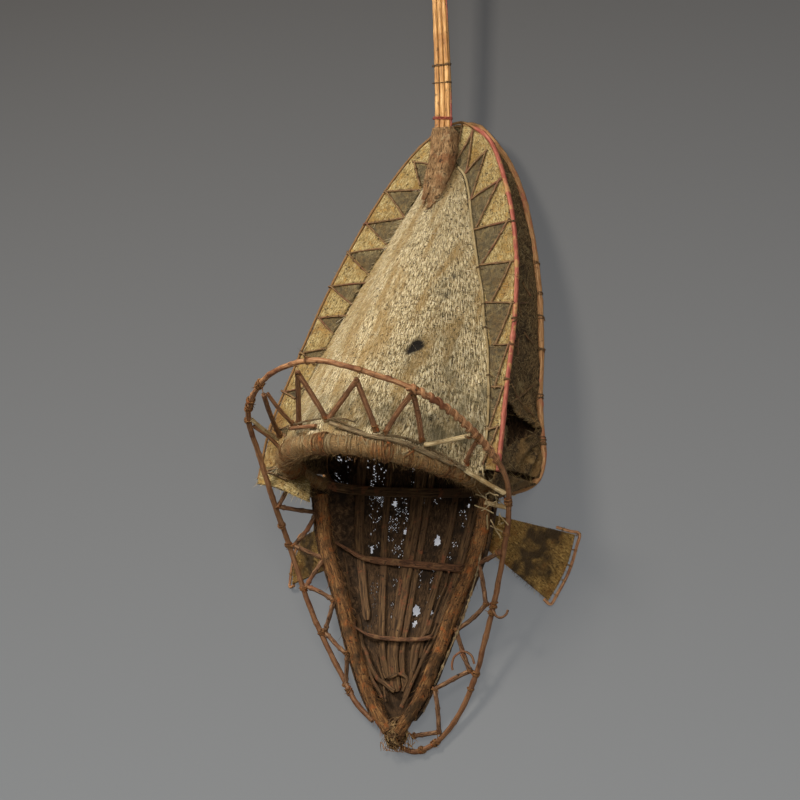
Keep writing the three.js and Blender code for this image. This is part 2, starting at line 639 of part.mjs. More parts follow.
// The ears and their rims.
for (const [name, { root, rim }] of Object.entries(EARS)) {
  const [rootTop, rootFoot, rimTop, rimFoot] = [...root, ...rim].map(vector);
  const fan = (u, v) => {
    const inner = rootTop.clone().lerp(rootFoot, v);
    const outer = rimTop.clone().lerp(rimFoot, v);
    const swell = rimTop.distanceTo(rimFoot) * EAR_SWELL * Math.sin(Math.PI * v);
    return inner.lerp(outer.add(outer.clone().sub(inner).setLength(swell)), u);
  };
  const upward = name === 'left' ? fan : (u, v) => fan(u, 1 - v);
  addPiece(
    `ear_${name}`,
    fitted(wall(upward, EAR_THICKNESS, 4, 4), limb(-1), limb(1), jawSkin, hoop),
    TAN_CLOTH,
  );
  const rimPath = [0.72, 0.88, 1].map((u) => fan(u, 0)).concat(
    [0.15, 0.5, 0.85].map((v) => fan(1, v)),
    [1, 0.9].map((u) => fan(u, 1)),
  );
  const middle = fan(0.4, 0.5);
  const outside = rimPath.map((p) => {
    const away = p.clone().sub(middle).setLength(2 * RIM_RADIUS + RIM_ROOM);
    const height = Math.max(p.z + away.z - EAR_THICKNESS / 2, RIM_RADIUS + GAP);
    return p.clone().add(away).setZ(height).toArray();
  });
  addPiece(`ear_rim_${name}`, fitted(cane(outside, RIM_RADIUS, 16, 5), hoop), BARE_CANE);
}

// The stick: three split canes and a thin red one, tied side by side.
const pitch = (share) => FOOT_PITCH + (TOP_PITCH - FOOT_PITCH) * share;
const stickMakers = STICK_STRIPS.map(({ place, width }) => (grow) => strip(
  STICK_PATH.map(([x, y, z]) => [
    x + place * pitch((y - STICK_PATH[0][1]) / (STICK_PATH.at(-1)[1] - STICK_PATH[0][1])), y, z,
  ]),
  [1, 0, 0],
  (share) => width * pitch(share) + 2 * grow,
  STRIP_THICKNESS + 2 * grow,
  10,
));
STICK_STRIPS.forEach(({ name, red }, index) => {
  addPiece(name, fitted(stickMakers[index](0), hood, backCane), red ? RED_CANE : BARE_CANE);
});

// Barkcloth and fibre bound over the foot of the stick.
const patchWidth = graphThrough(PATCH_ROWS.map(([y, width]) => [width, y]));
const patchMiddle = graphThrough(PATCH_ROWS.map(([y, , x]) => [x, y]));
const stickHeight = graphThrough(STICK_PATH.map(([, y, z]) => [z, y]));
const [PATCH_START, PATCH_END] = [PATCH_ROWS[0][0], PATCH_ROWS.at(-1)[0]];
const PATCH_RIM = 1.5;
function footPatch() {
  const box = new THREE.BoxGeometry(1, 1, 1, 4, 3, 1);
  const place = box.attributes.position;
  for (let i = 0; i < place.count; i += 1) {
    const across = 2 * place.getX(i);
    const y = PATCH_START + (PATCH_END - PATCH_START) * (place.getY(i) + 0.5);
    const x = patchMiddle(y) + (across * patchWidth(y)) / 2;
    const low = Math.max(hoodSurface(x, y), backHeight(y) + CLOTH / 2) + GAP;
    const top = stickHeight(y) + STRIP_THICKNESS / 2 + 2;
    const crown = low + PATCH_RIM + Math.max(top - low - PATCH_RIM, 0) * (1 - across ** 4);
    place.setXYZ(i, x, y, place.getZ(i) > 0 ? crown : low);
  }
  return solidOf(box);
}
const wholeStick = (grow) => strip(
  STICK_PATH.map(([x, y, z]) => [x + 1.6, y - (y < 300 ? 3 : 0), z]),
  [1, 0, 0],
  () => 3.8 * FOOT_PITCH + 2 * grow,
  STRIP_THICKNESS + 1.2 + 2 * grow,
  10,
);
addPiece(
  'foot_patch',
  fitted(footPatch(), wholeStick, hood, backCane, teeth(TEETH_RIGHT), teeth(TEETH_LEFT), seam),
  FIBRE,
);

export default mask;
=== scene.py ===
# Eharo mask of barkcloth sewn over a cane frame, lying on its front with the head opening up.
# Places are worked out in millimetres from the floor under the middle of the head opening, as
# the maker would measure it: +X right, +Y from the jaw to the stick, +Z up. metres() turns
# them into the model's frame.
import math
from functools import partial

import bpy
import numpy as np
from mathutils import Matrix, Vector


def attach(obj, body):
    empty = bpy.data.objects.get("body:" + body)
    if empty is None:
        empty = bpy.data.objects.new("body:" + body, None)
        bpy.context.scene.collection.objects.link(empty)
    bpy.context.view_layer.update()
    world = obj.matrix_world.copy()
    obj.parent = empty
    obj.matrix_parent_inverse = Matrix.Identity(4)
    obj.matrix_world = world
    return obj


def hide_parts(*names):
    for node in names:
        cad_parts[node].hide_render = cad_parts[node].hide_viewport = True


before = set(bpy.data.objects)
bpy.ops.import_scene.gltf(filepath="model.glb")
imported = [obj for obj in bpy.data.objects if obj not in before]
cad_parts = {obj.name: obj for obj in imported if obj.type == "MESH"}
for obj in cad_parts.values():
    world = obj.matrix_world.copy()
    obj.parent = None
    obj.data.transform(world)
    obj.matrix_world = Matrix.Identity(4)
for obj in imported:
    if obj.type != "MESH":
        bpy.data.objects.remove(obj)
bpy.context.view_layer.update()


# The photographer's corner: a long lens looking down on the mask, a floor that glows faintly
# so that the pinholes in the cloth show light, and soft lamps from the upper left.
EYE = Vector((1.45056, -0.65927, 2.5553))
TARGET = Vector((-0.01594, -0.07493, 0.08336))
UPWARDS = Vector((0.0, 0.97318, 0.23005))
LENS = 120
SENSOR = 36
FARTHEST = 20
FLOOR_HALF = 3.0
FLOOR_GLOW = 1.9
FLOOR_GREY = "#505254"
FLOOR_PAINTED_SHADE = "#1d1c1c"
FLOOR_LIGHT = -0.55
FLOOR_DARK = 0.65
FLOOR_MATT = 0.9
STUDIO_GREY = "#d0cdc6"
STUDIO_LIGHT = 0.16
# Each lamp: its place, size, power and colour.
LAMPS = {
    "window": ((-0.9, 0.95, 1.7), 0.5, 46.0, "#fff4e4"),
    "sky": ((1.0, 0.35, 2.3), 0.9, 32.0, "#fff6ea"),
    "bounce": ((1.6, -1.2, 0.8), 1.4, 6.0, "#fff2e0"),
}
LAMPS_AIM = Vector((0, 0, 0.1))


def linear(hex_colour):
    """An sRGB hex colour as the linear RGBA that the shaders need."""
    shares = [int(hex_colour[i:i + 2], 16) / 255 for i in (1, 3, 5)]
    return [s / 12.92 if s <= 0.04045 else ((s + 0.055) / 1.055) ** 2.4 for s in shares] + [1.0]


def feed(tree, node, inputs):
    """Gives a node its inputs, as values or as linked sockets."""
    for name, value in inputs.items():
        if isinstance(value, bpy.types.NodeSocket):
            tree.links.new(value, node.inputs[name])
        else:
            node.inputs[name].default_value = value


def add_node(tree, kind, *given, out=0, **settings):
    """One of the outputs of a new node, or the node where out is None. Its inputs come in
    their order, or by name in a dict. A kind in capitals is a sum, on vectors where its first
    input is one; a kind without Node in its name is a geometry node."""
    inputs = {}
    for i, value in enumerate(given):
        inputs.update(value if isinstance(value, dict) else {i: value})
    if kind.isupper():
        vector = isinstance(given[0], bpy.types.NodeSocket) and given[0].type == "VECTOR"
        settings["operation"] = kind
        kind = "ShaderNodeVectorMath" if vector else "ShaderNodeMath"
    new = tree.nodes.new(kind if "Node" in kind else "GeometryNode" + kind)
    for name, value in settings.items():
        setattr(new, name, value)
    feed(tree, new, inputs)
    return new if out is None else new.outputs[out]


def looking(eye, target, upwards):
    """The turn of a camera or lamp at eye that looks at target."""
    backwards = (eye - target).normalized()
    right = upwards.cross(backwards).normalized()
    turn = Matrix((right, backwards.cross(right), backwards)).transposed()
    return Matrix.Translation(eye) @ turn.to_4x4()


def placed(name, data):
    """A new object in the scene."""
    new = bpy.data.objects.new(name, data)
    bpy.context.collection.objects.link(new)
    return new


def finish_tree(name):
    """A new material, its tree and its shader."""
    material = bpy.data.materials.new(name)
    material.use_nodes = True
    return material, material.node_tree, material.node_tree.nodes["Principled BSDF"]


def on_stage(name, corners, finish):
    """A flat sheet that belongs to the studio and not to the mask."""
    mesh = bpy.data.meshes.new(name)
    mesh.from_pydata(corners, [], [range(len(corners))])
    mesh.materials.append(finish)
    placed(name, mesh)


camera = placed("camera", bpy.data.cameras.new("camera"))
camera.data.lens = LENS
camera.data.sensor_width = SENSOR
camera.data.sensor_fit = "HORIZONTAL"
camera.data.clip_end = FARTHEST
camera.matrix_world = looking(EYE, TARGET, UPWARDS)
bpy.context.scene.camera = camera
for name, (place, size, power, colour) in LAMPS.items():
    lamp = bpy.data.lights.new(name, "AREA")
    lamp.size = size
    lamp.energy = power
    lamp.color = linear(colour)[:3]
    placed(name, lamp).matrix_world = looking(Vector(place), LAMPS_AIM, UPWARDS)

sky = bpy.data.worlds.new("studio")
sky.use_nodes = True
feed(sky.node_tree, sky.node_tree.nodes["Background"], {
    "Color": linear(STUDIO_GREY), "Strength": STUDIO_LIGHT,
})
bpy.context.scene.world = sky
bpy.context.scene.view_settings.view_transform = "Standard"

# Studio floor: matt and glowing, with painted shade that darkens it away from the lamps, beyond the
# stick.
paint, tree, shader = finish_tree("glowing_floor_with_painted_shade")
where = add_node(tree, "ShaderNodeTexCoord", out="Object")
along = add_node(tree, "ShaderNodeSeparateXYZ", where, out="Y")
away = add_node(tree, "ShaderNodeMapRange", along, FLOOR_LIGHT, FLOOR_DARK)
tone = add_node(tree, "ShaderNodeMixRGB", away, linear(FLOOR_GREY), linear(FLOOR_PAINTED_SHADE))
feed(tree, shader, {
    "Base Color": tone, "Emission Color": tone, "Emission Strength": FLOOR_GLOW,
    "Roughness": FLOOR_MATT,
})
on_stage("floor", [
    (-FLOOR_HALF, -FLOOR_HALF, 0), (FLOOR_HALF, -FLOOR_HALF, 0), (FLOOR_HALF, FLOOR_HALF, 0),
    (-FLOOR_HALF, FLOOR_HALF, 0),
], paint)


# The two edge canes of the head board: whole canes bent into a pointed arch. The back one is
# dyed red where it isn't rubbed bare; the front one is bare, with pale cloth pulled over it.
UNDER_OPENING = (-13.4, -112.4, 0.0)
BACK_HEIGHT = 102.3
BACK_FALL = 0.198
BACK_OUTLINE = [
    (-154, -60), (-155, -5), (-137, 100), (-107, 216), (-60, 325), (-24, 366), (0, 376), (24, 367),
    (45, 351), (82, 286), (109, 212), (125, 130), (133, 50), (140, -8), (144, -46),
]
FRONT_HALF = [
    (136, -32), (140, -7), (136, 12), (128, 56), (123, 113), (107, 205), (75, 300), (43, 349),
]
FRONT_POINT = (0, 381)
FRONT_FOOT = [(103, -48), (126, -41)]
BACK_CANE_RADIUS = 2.9
FRONT_CANE_RADIUS = 3.6


def metres(places):
    """Places in millimetres from under the head opening, in the model's own frame."""
    return (np.asarray(places, float) + UNDER_OPENING) / 1000


def evenly(points, step):
    """A line of points taken again at even distances."""
    points = np.asarray(points, float)
    run = np.append(0, np.cumsum(np.linalg.norm(np.diff(points, axis=0), axis=1)))
    stops = np.linspace(0, run[-1], max(int(round(run[-1] / step)), 1) + 1)
    return np.column_stack([np.interp(stops, run, axis) for axis in points.T])


def curve_through(points, step=2.0):
    """A smooth line through the points, as a bent cane takes them."""
    knots = np.asarray(points, float)
    knots = np.vstack([2 * knots[0] - knots[1], knots, 2 * knots[-1] - knots[-2]])
    gaps = np.sqrt(np.linalg.norm(np.diff(knots, axis=0), axis=1))
    share = np.linspace(0, 1, 30, endpoint=False)[:, None]
    line = []
    for i in range(1, len(knots) - 2):
        (p0, p1, p2, p3), (d0, d1, d2) = knots[i - 1:i + 3], gaps[i - 1:i + 2]
        leave = ((p1 - p0) / d0 - (p2 - p0) / (d0 + d1) + (p2 - p1) / d1) * d1
        reach = ((p2 - p1) / d1 - (p3 - p1) / (d1 + d2) + (p3 - p2) / d2) * d1
        square = 3 * (p2 - p1) - 2 * leave - reach
        cube = 2 * (p1 - p2) + leave + reach
        line.append(p1 + leave * share + square * share ** 2 + cube * share ** 3)
    return evenly(np.vstack(line + [knots[-2:-1]]), step)


def unit(vectors):
    """The vectors at length one."""
    vectors = np.asarray(vectors, float)
    return vectors / np.maximum(np.linalg.norm(vectors, axis=-1, keepdims=True), 1e-9)


def stacked(x, y, z=0.0):
    """Places from their three parts."""
    return np.stack(np.broadcast_arrays(x, y, z), axis=-1)


def heading(points):
    """The direction of travel at each point of a line."""
    return unit(np.gradient(points, axis=0))


def wander(places, size, seed, layers=1):
    """A smooth random swing from -1 to 1 over places, as wide as size."""
    total = 0
    for layer in range(layers):
        spot = np.asarray(places, float) * 2 ** layer / size + 17.3 * seed + 5.1 * layer
        cell = np.floor(spot).astype(np.int64)
        share = spot - cell
        share = share * share * (3 - 2 * share)
        mixed = 0
        for corner in np.ndindex(2, 2, 2):
            x, y, z = (cell + corner).T
            code = (x * 73856093) ^ (y * 19349663) ^ (z * 83492791)
            code = (code ^ (code >> 13)) * 1274126177
            value = ((code ^ (code >> 16)) & 0xFFFF) / 32767.5 - 1
            weight = np.prod(np.where(corner, share, 1 - share), axis=-1)
            mixed = mixed + value * weight.T
        total = total + mixed.T / 2 ** layer
    return total


def wandering(points, size, depth, seed, apart=31):
    """A line that strays from its path by up to about depth, as a bent stick does."""
    return points + depth * np.column_stack(
        [wander(points, size, seed + apart * axis) for axis in range(3)])


def start_tree(name, numbers):
    """A geometry tree with a mesh, named numbers and a material as its inputs."""
    tree = bpy.data.node_groups.new(name, "GeometryNodeTree")
    tree.interface.new_socket("Geometry", in_out="INPUT", socket_type="NodeSocketGeometry")
    for label, value in numbers.items():
        kind = "NodeSocketInt" if isinstance(value, int) else "NodeSocketFloat"
        socket = tree.interface.new_socket(label, in_out="INPUT", socket_type=kind)
        socket.default_value = value
    tree.interface.new_socket("Material", in_out="INPUT", socket_type="NodeSocketMaterial")
    tree.interface.new_socket("Geometry", in_out="OUTPUT", socket_type="NodeSocketGeometry")
    return tree, partial(add_node, tree), add_node(tree, "NodeGroupInput", out=None).outputs


def end_tree(tree, geometry, material):
    """The close of every tree: whole geometry, in its material."""
    whole = add_node(tree, "RealizeInstances", geometry)
    ready = add_node(tree, "SetMaterial", {"Geometry": whole, "Material": material})
    add_node(tree, "NodeGroupOutput", ready, out=None)
    return tree


def cane_tree():
    """Canes along the lines of a mesh: oval or flat, with knots, swellings and a rough bark."""
    tree, node, given = start_tree("cane_along_a_line", {
        "Radius": 0.003, "Flatness": 1.0, "Squareness": 1.0, "Sides": 10, "Step": 0.002,
        "Knot spacing": 0.09, "Knot swell": 0.0, "Bark depth": 0.0, "Bark size": 0.002,
        "Seed": 0.0,
    })
    line = node("MeshToCurve", given["Geometry"])
    line = node(
        "ResampleCurve", {"Curve": line, "Length": given["Step"]}, mode="LENGTH")
    wide = node("InputNamedAttribute", "wide", data_type="FLOAT_VECTOR")
    line = node("SetCurveNormal", {"Curve": line, "Normal": wide}, mode="FREE")
    along = node("SplineParameter", out="Length")
    line = node(
        "StoreNamedAttribute", {"Geometry": line, "Name": "along", "Value": along})
    shift = node("MULTIPLY", given["Seed"], 0.37)
    turns = node("ADD", node("DIVIDE", along, given["Knot spacing"]), shift)
    near = node("ABSOLUTE", node("SUBTRACT", node("FRACT", turns), 0.5))
    swell = node("ShaderNodeMapRange", near, 0.44, 0.5, interpolation_type="SMOOTHSTEP")
    swell = node("ADD", node("MULTIPLY", swell, given["Knot swell"]), 1.0)
    girth = node("InputNamedAttribute", "girth")
    size = node("MULTIPLY", node("MULTIPLY", given["Radius"], girth), swell)
    ring = node("CurvePrimitiveCircle", {"Resolution": given["Sides"], "Radius": 1.0})
    here = node("InputPosition")
    ring = node(
        "StoreNamedAttribute", {"Geometry": ring, "Name": "round", "Value": here},
        data_type="FLOAT_VECTOR")
    squared = [
        node("MULTIPLY", node("SIGN", part), node(
            "POWER", node("ABSOLUTE", part), given["Squareness"]))
        for part in list(node("ShaderNodeSeparateXYZ", here, out=None).outputs)[:2]
    ]
    low = node("MULTIPLY", squared[1], given["Flatness"])
    shaped = node("ShaderNodeCombineXYZ", squared[0], low)
    ring = node("SetPosition", {"Geometry": ring, "Position": shaped})
    skin = node("CurveToMesh", {
        "Curve": line, "Profile Curve": ring, "Scale": size, "Fill Caps": True,
    })
    around = node("InputNamedAttribute", "round", data_type="FLOAT_VECTOR")
    length = node("InputNamedAttribute", "along")
    grain = node(
        "ADD", node("SCALE", around, {"Scale": given["Radius"]}),
        node("ShaderNodeCombineXYZ", {2: length}))
    skin = node(
        "StoreNamedAttribute", {"Geometry": skin, "Name": "grain", "Value": grain},
        data_type="FLOAT_VECTOR")
    finer = node("DIVIDE", 1.0, given["Bark size"])
    where = node("SCALE", node("MULTIPLY", grain, (1.0, 1.0, 0.35)), {"Scale": finer})
    rough = node("ShaderNodeTexNoise", {
        "Vector": where, "W": given["Seed"], "Scale": 1.0, "Detail": 2.0,
    }, noise_dimensions="4D")
    lift = node("MULTIPLY", node("SUBTRACT", rough, 0.5), given["Bark depth"])
    offset = node("SCALE", node("InputNormal"), {"Scale": lift})
    skin = node("SetPosition", {"Geometry": skin, "Offset": offset})
    skin = node("SetShadeSmooth", {"Geometry": skin})
    return end_tree(tree, skin, given["Material"])


CANE_TREE = cane_tree()


def mesh_of_lines(name, lines):
    """A mesh of bare lines. Each is points alone, or points with their wide direction, their
    girth and their share of their finish's second tint (bleach, and on the head ring also painted
    light); None leaves one out."""
    places, wides, girths, tint_shares, edges = [], [], [], [], []
    for line in lines:
        line = line if isinstance(line, tuple) else (line,)
        points, wide, girth, tint_share = (*line, None, None, None)[:4]
        travel = heading(points)
        if wide is None:
            side = np.cross(travel[0], (0.31, 0.17, 0.93))
            wide = np.empty_like(points)
            for i, step in enumerate(travel):
                side = side - step * side.dot(step)
                side = side / np.linalg.norm(side)
                wide[i] = side
        wide = np.broadcast_to(wide, points.shape)
        first = sum(len(part) for part in places)
        edges += [(first + i, first + i + 1) for i in range(len(points) - 1)]
        places.append(metres(points))
        wides.append(unit(wide - travel * np.sum(wide * travel, axis=1, keepdims=True)))
        girths.append(np.broadcast_to(1.0 if girth is None else girth, len(points)))
        tint_shares.append(np.broadcast_to(0.0 if tint_share is None else tint_share, len(points)))
    mesh = bpy.data.meshes.new(name)
    mesh.from_pydata(np.vstack(places).tolist(), edges, [])
    store(mesh, "wide", np.vstack(wides))
    store(mesh, "girth", np.concatenate(girths))
    store(mesh, "bleach_and_painted_light", np.concatenate(tint_shares))
    return mesh


def store(mesh, name, values):
    """One number or vector for each point of a mesh."""
    values = np.asarray(values, np.float32)
    kind, field = ("FLOAT", "value") if values.ndim == 1 else ("FLOAT_VECTOR", "vector")
    mesh.attributes.new(name, kind, "POINT").data.foreach_set(field, values.ravel())


def grown(name, mesh, tree, material, **numbers):
    """The plain piece that a tree makes from a starting mesh. Lengths are in metres."""
    piece = placed(name, mesh)
    modifier = piece.modifiers.new("grown", "NODES")
    modifier.node_group = tree
    values = {key.replace("_", " ").capitalize(): value for key, value in numbers.items()}
    values["Material"] = material
    for socket in tree.interface.items_tree:
        if socket.in_out == "INPUT" and socket.name in values:
            modifier[socket.identifier] = values[socket.name]
    state = bpy.context.evaluated_depsgraph_get()
    plain = bpy.data.meshes.new_from_object(
        piece.evaluated_get(state), preserve_all_data_layers=True, depsgraph=state
    )
    piece.modifiers.remove(modifier)
    piece.data = plain
    return piece


def fixed(piece, slot, *nodes):
    """The piece rides on the mask and stands for its CAD nodes, which it hides. slot is not used."""
    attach(piece, "root")
    if nodes:
        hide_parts(*nodes)
    return piece


def canes(name, lines, material, slot, nodes=(), radius=2.5, **numbers):
    """Canes along lines in millimetres, as one piece of the mask."""
    numbers.setdefault("seed", float(len(name)))
    for key in {"step", "knot_spacing", "bark_depth", "bark_size"} & set(numbers):
        numbers[key] = numbers[key] / 1000
    mesh = mesh_of_lines(name, lines)
    piece = grown(name, mesh, CANE_TREE, material, radius=radius / 1000, **numbers)
    return fixed(piece, slot, *nodes)


def streaked_finish(name, streak, stops, overlays=(), relief=0.35, roughness=0.9, sheen=0.0):
    """A fibrous surface. streak is a fibre's width and length in millimetres, along the
    grain's Z. stops are the colours by their share of the fibres. overlays are (source,
    colour, from, to): a blotch size in millimetres or a value stored on the piece."""
    material, tree, shader = finish_tree(name)
    node = partial(add_node, tree)
    wide, long = (1000 / size for size in streak)
    place = node("ShaderNodeAttribute", attribute_name="grain", out="Vector")
    fibres = node("ShaderNodeTexNoise", {
        "Vector": node("MULTIPLY", place, (wide, wide, long)), "Scale": 1.0, "Detail": 4.0,
        "Roughness": 0.62, "Distortion": 0.4,
    })
    ramp = node("ShaderNodeValToRGB", fibres, out=None)
    for i, (share, colour) in enumerate(stops.items()):
        stop = ramp.color_ramp.elements[i] if i < 2 else ramp.color_ramp.elements.new(share)
        stop.position = share
        stop.color = linear(colour)
    colour = ramp.outputs["Color"]
    spot = node("ShaderNodeTexCoord", out="Object")
    for source, tint, low, high in overlays:
        if isinstance(source, str):
            value = node("ShaderNodeAttribute", attribute_name=source, out="Fac")
        else:
            value = node("ShaderNodeTexNoise", {
                "Vector": spot, "Scale": 1000 / source, "Detail": 3.0, "Roughness": 0.6,
            })
        much = node("ShaderNodeMapRange", value, low, high)
        colour = node("ShaderNodeMixRGB", much, colour, linear(tint))
    bump = {"Height": fibres, "Strength": 1.0, "Distance": relief / 1000}
    least, most = roughness - 0.08, min(roughness + 0.08, 1.0)
    feed(tree, shader, {
        "Base Color": colour, "Normal": node("ShaderNodeBump", bump),
        "Roughness": node("ShaderNodeMapRange", fibres, 0.3, 0.7, most, least),
        "IOR": 1.5, "Specular IOR Level": 0.35, "Sheen Weight": sheen, "Sheen Roughness": 0.6,
    })
    return material


def back_height(y):
    """The height of the back of the board, which falls towards the stick."""
    return BACK_HEIGHT - BACK_FALL * y


# Rattan dyed red: the dye has worn off in patches to the pale pink-brown cane beneath.
red_cane = streaked_finish(
    "dyed_cane_worn", (1.2, 14.0),
    {0.28: "#56281d", 0.47: "#944b3f", 0.6: "#ab6754", 0.8: "#c48f75"},
    [
        (13.0, "#a98254", 0.53, 0.62), (6.0, "#6f3527", 0.62, 0.74),
        ("bleach_and_painted_light", "#7d5c34", 0.25, 0.75),
    ], roughness=0.66)
# Bare rattan: pale tan, straight grained, darker where bark is left on.
bare_cane = streaked_finish(
    "bare_cane", (1.0, 16.0),
    {0.25: "#5f4026", 0.45: "#a0744a", 0.6: "#bf9567", 0.8: "#d8b98f"},
    [(24.0, "#a4634a", 0.53, 0.64), (7.0, "#5c3a22", 0.62, 0.74)], roughness=0.62)

back_points = [(x, y, back_height(y)) for x, y in BACK_OUTLINE]
back_line = curve_through(back_points)
front_outline = [
    (x, y, FRONT_CANE_RADIUS)
    for x, y in [(-x, y) for x, y in FRONT_HALF] + [FRONT_POINT] + FRONT_HALF[::-1]
]
front_line = curve_through(front_outline)
front_cane_line = curve_through(
    [(-x, y, FRONT_CANE_RADIUS + 0.2) for x, y in FRONT_FOOT] + front_outline
    + [(x, y, FRONT_CANE_RADIUS + 0.2) for x, y in FRONT_FOOT[::-1]]
)
# On the left the cane is thin and bare; on the right its red dye is left in patches.
left_share = np.clip(0.5 - (back_line[:, 0] - 22) / 30, 0, 1)
back_bleach = np.clip(left_share * 1.1 + 0.25 * wander(back_line, 22, 5, layers=2), 0, 1)
canes(
    "back_edge", [(wandering(back_line, 40, 0.5, 1), None, 0.88 - 0.36 * left_share, back_bleach)],
    red_cane, "red_cane", ["back_edge_cane"], radius=BACK_CANE_RADIUS, knot_spacing=93.0,
    knot_swell=0.3, bark_depth=1.3, bark_size=3.0, step=1.8, sides=12)
canes(
    "front_edge", [front_cane_line], bare_cane, "bare_cane", ["front_edge_cane"],
    radius=FRONT_CANE_RADIUS, knot_spacing=118.0, knot_swell=0.2, bark_depth=1.6, bark_size=3.0,
    step=2.2, sides=12)


# The hood: one sheet of pale beaten bark cloth, stretched from the edges of the board up to the
# top of the head ring. Its long fibres run down from the point; it has mould and dark stains, and its
# holes are sunk and painted near-black as painted shade.
CLOTH = 2.4
HOOD_FOOT = [(131, -40), (122, 22), (100, 108), (70, 192), (41, 262), (22, 306), (2, 327)]
HOOD_LEFT_SHARE = 1.04
HOOD_RIGHT_SHARE = 0.98
HOOD_RISE = 115
HOOD_POINT = 328
HOOD_MOUTH = -38
HOOD_MOUTH_DROP = 13
HOOD_CELLS = (125, 158)
HOOD_SIZE = (0.335, 0.40)
HOOD_AREA = 0.078
# Dark stains, and holes that are sunk and painted near-black as painted shade, not cut: place, half
# width and half length in millimetres, and how dark.
HOOD_STAINS_AND_HOLES = [
    (46.4, 85.4, 6.0, 7.0, 1.5), (41.9, 76.2, 4.5, 5.0, 0.75), (51.2, 176.4, 2.5, 4.5, 0.7),
    (38.0, 183.8, 2.0, 3.5, 0.6), (51.5, 152.3, 3.5, 5.0, 0.6), (79.8, 1.7, 5.0, 7.0, 0.6),
    (2.9, 128.8, 2.0, 2.5, 0.7), (0.1, 211.1, 3.0, 3.5, 0.5), (57.7, -7.1, 9.0, 7.0, 0.5),
]
# Where grey-green mould has taken: place, reach across and along, and how much.
HOOD_MOULD = [
    (101, 31, 22, 45, 0.9), (97, -19, 22, 22, 1.0), (77, 112, 24, 60, 0.5), (-60, 0, 55, 24, 0.55),
    (20, 0, 60, 26, 0.6), (52, 160, 14, 26, 0.6), (-110, 30, 22, 50, 0.5), (40, 60, 40, 40, 0.35),
]


def graph_through(pairs):
    """A smooth value through (value, place) pairs, as a function of place."""
    value, place = np.array(sorted(pairs, key=lambda pair: pair[1]), float).T
    slope = np.empty_like(value)
    slope[1:-1] = (value[2:] - value[:-2]) / (place[2:] - place[:-2])
    slope[0] = (value[1] - value[0]) / (place[1] - place[0])
    slope[-1] = (value[-1] - value[-2]) / (place[-1] - place[-2])

    def graph(where):
        where = np.asarray(where, float)
        i = np.clip(np.searchsorted(place, where) - 1, 0, len(place) - 2)
        step = place[i + 1] - place[i]
        t = (where - place[i]) / step
        inside = np.clip(t, 0, 1)
        smooth = (
            (2 * inside ** 3 - 3 * inside ** 2 + 1) * value[i]
            + (inside ** 3 - 2 * inside ** 2 + inside) * slope[i] * step
            + (3 * inside ** 2 - 2 * inside ** 3) * value[i + 1]
            + (inside ** 3 - inside ** 2) * slope[i + 1] * step
        )
        return np.where((t < 0) | (t > 1), value[i] + (value[i + 1] - value[i]) * t, smooth)

    return graph


hood_half = graph_through(HOOD_FOOT)


def hood_foot(side, y):
    """Where the hood meets the back of the board."""
    return side * hood_half(y) * np.where(side < 0, HOOD_LEFT_SHARE, HOOD_RIGHT_SHARE)


def hood_top(x, y):
    """The height of the hood's cloth."""
    side = np.where(np.asarray(x) < 0, -1.0, 1.0)
    share = np.clip(np.abs(x / hood_foot(side, y)), 0, 1)
    rise = np.maximum(HOOD_RISE * (HOOD_POINT - y) / (HOOD_POINT - HOOD_MOUTH), 0)
    return back_height(y) + rise * (1 - share ** 2) ** 1.3


def hood_surface(u, v):
    """The outside of the hood: u from left to right, v from the mouth to the point."""
    t = 2 * u - 1
    mouth = HOOD_MOUTH - HOOD_MOUTH_DROP * np.clip((np.abs(t) - 0.72) / 0.2, 0, 1)
    y = mouth + (HOOD_POINT - 3 - mouth) * v
    side = np.where(t < 0, -1.0, 1.0)
    x = np.abs(t) * (hood_foot(side, y) - side * np.minimum(1.2, hood_half(y) / 2))
    return stacked(x, y, hood_top(x, y))


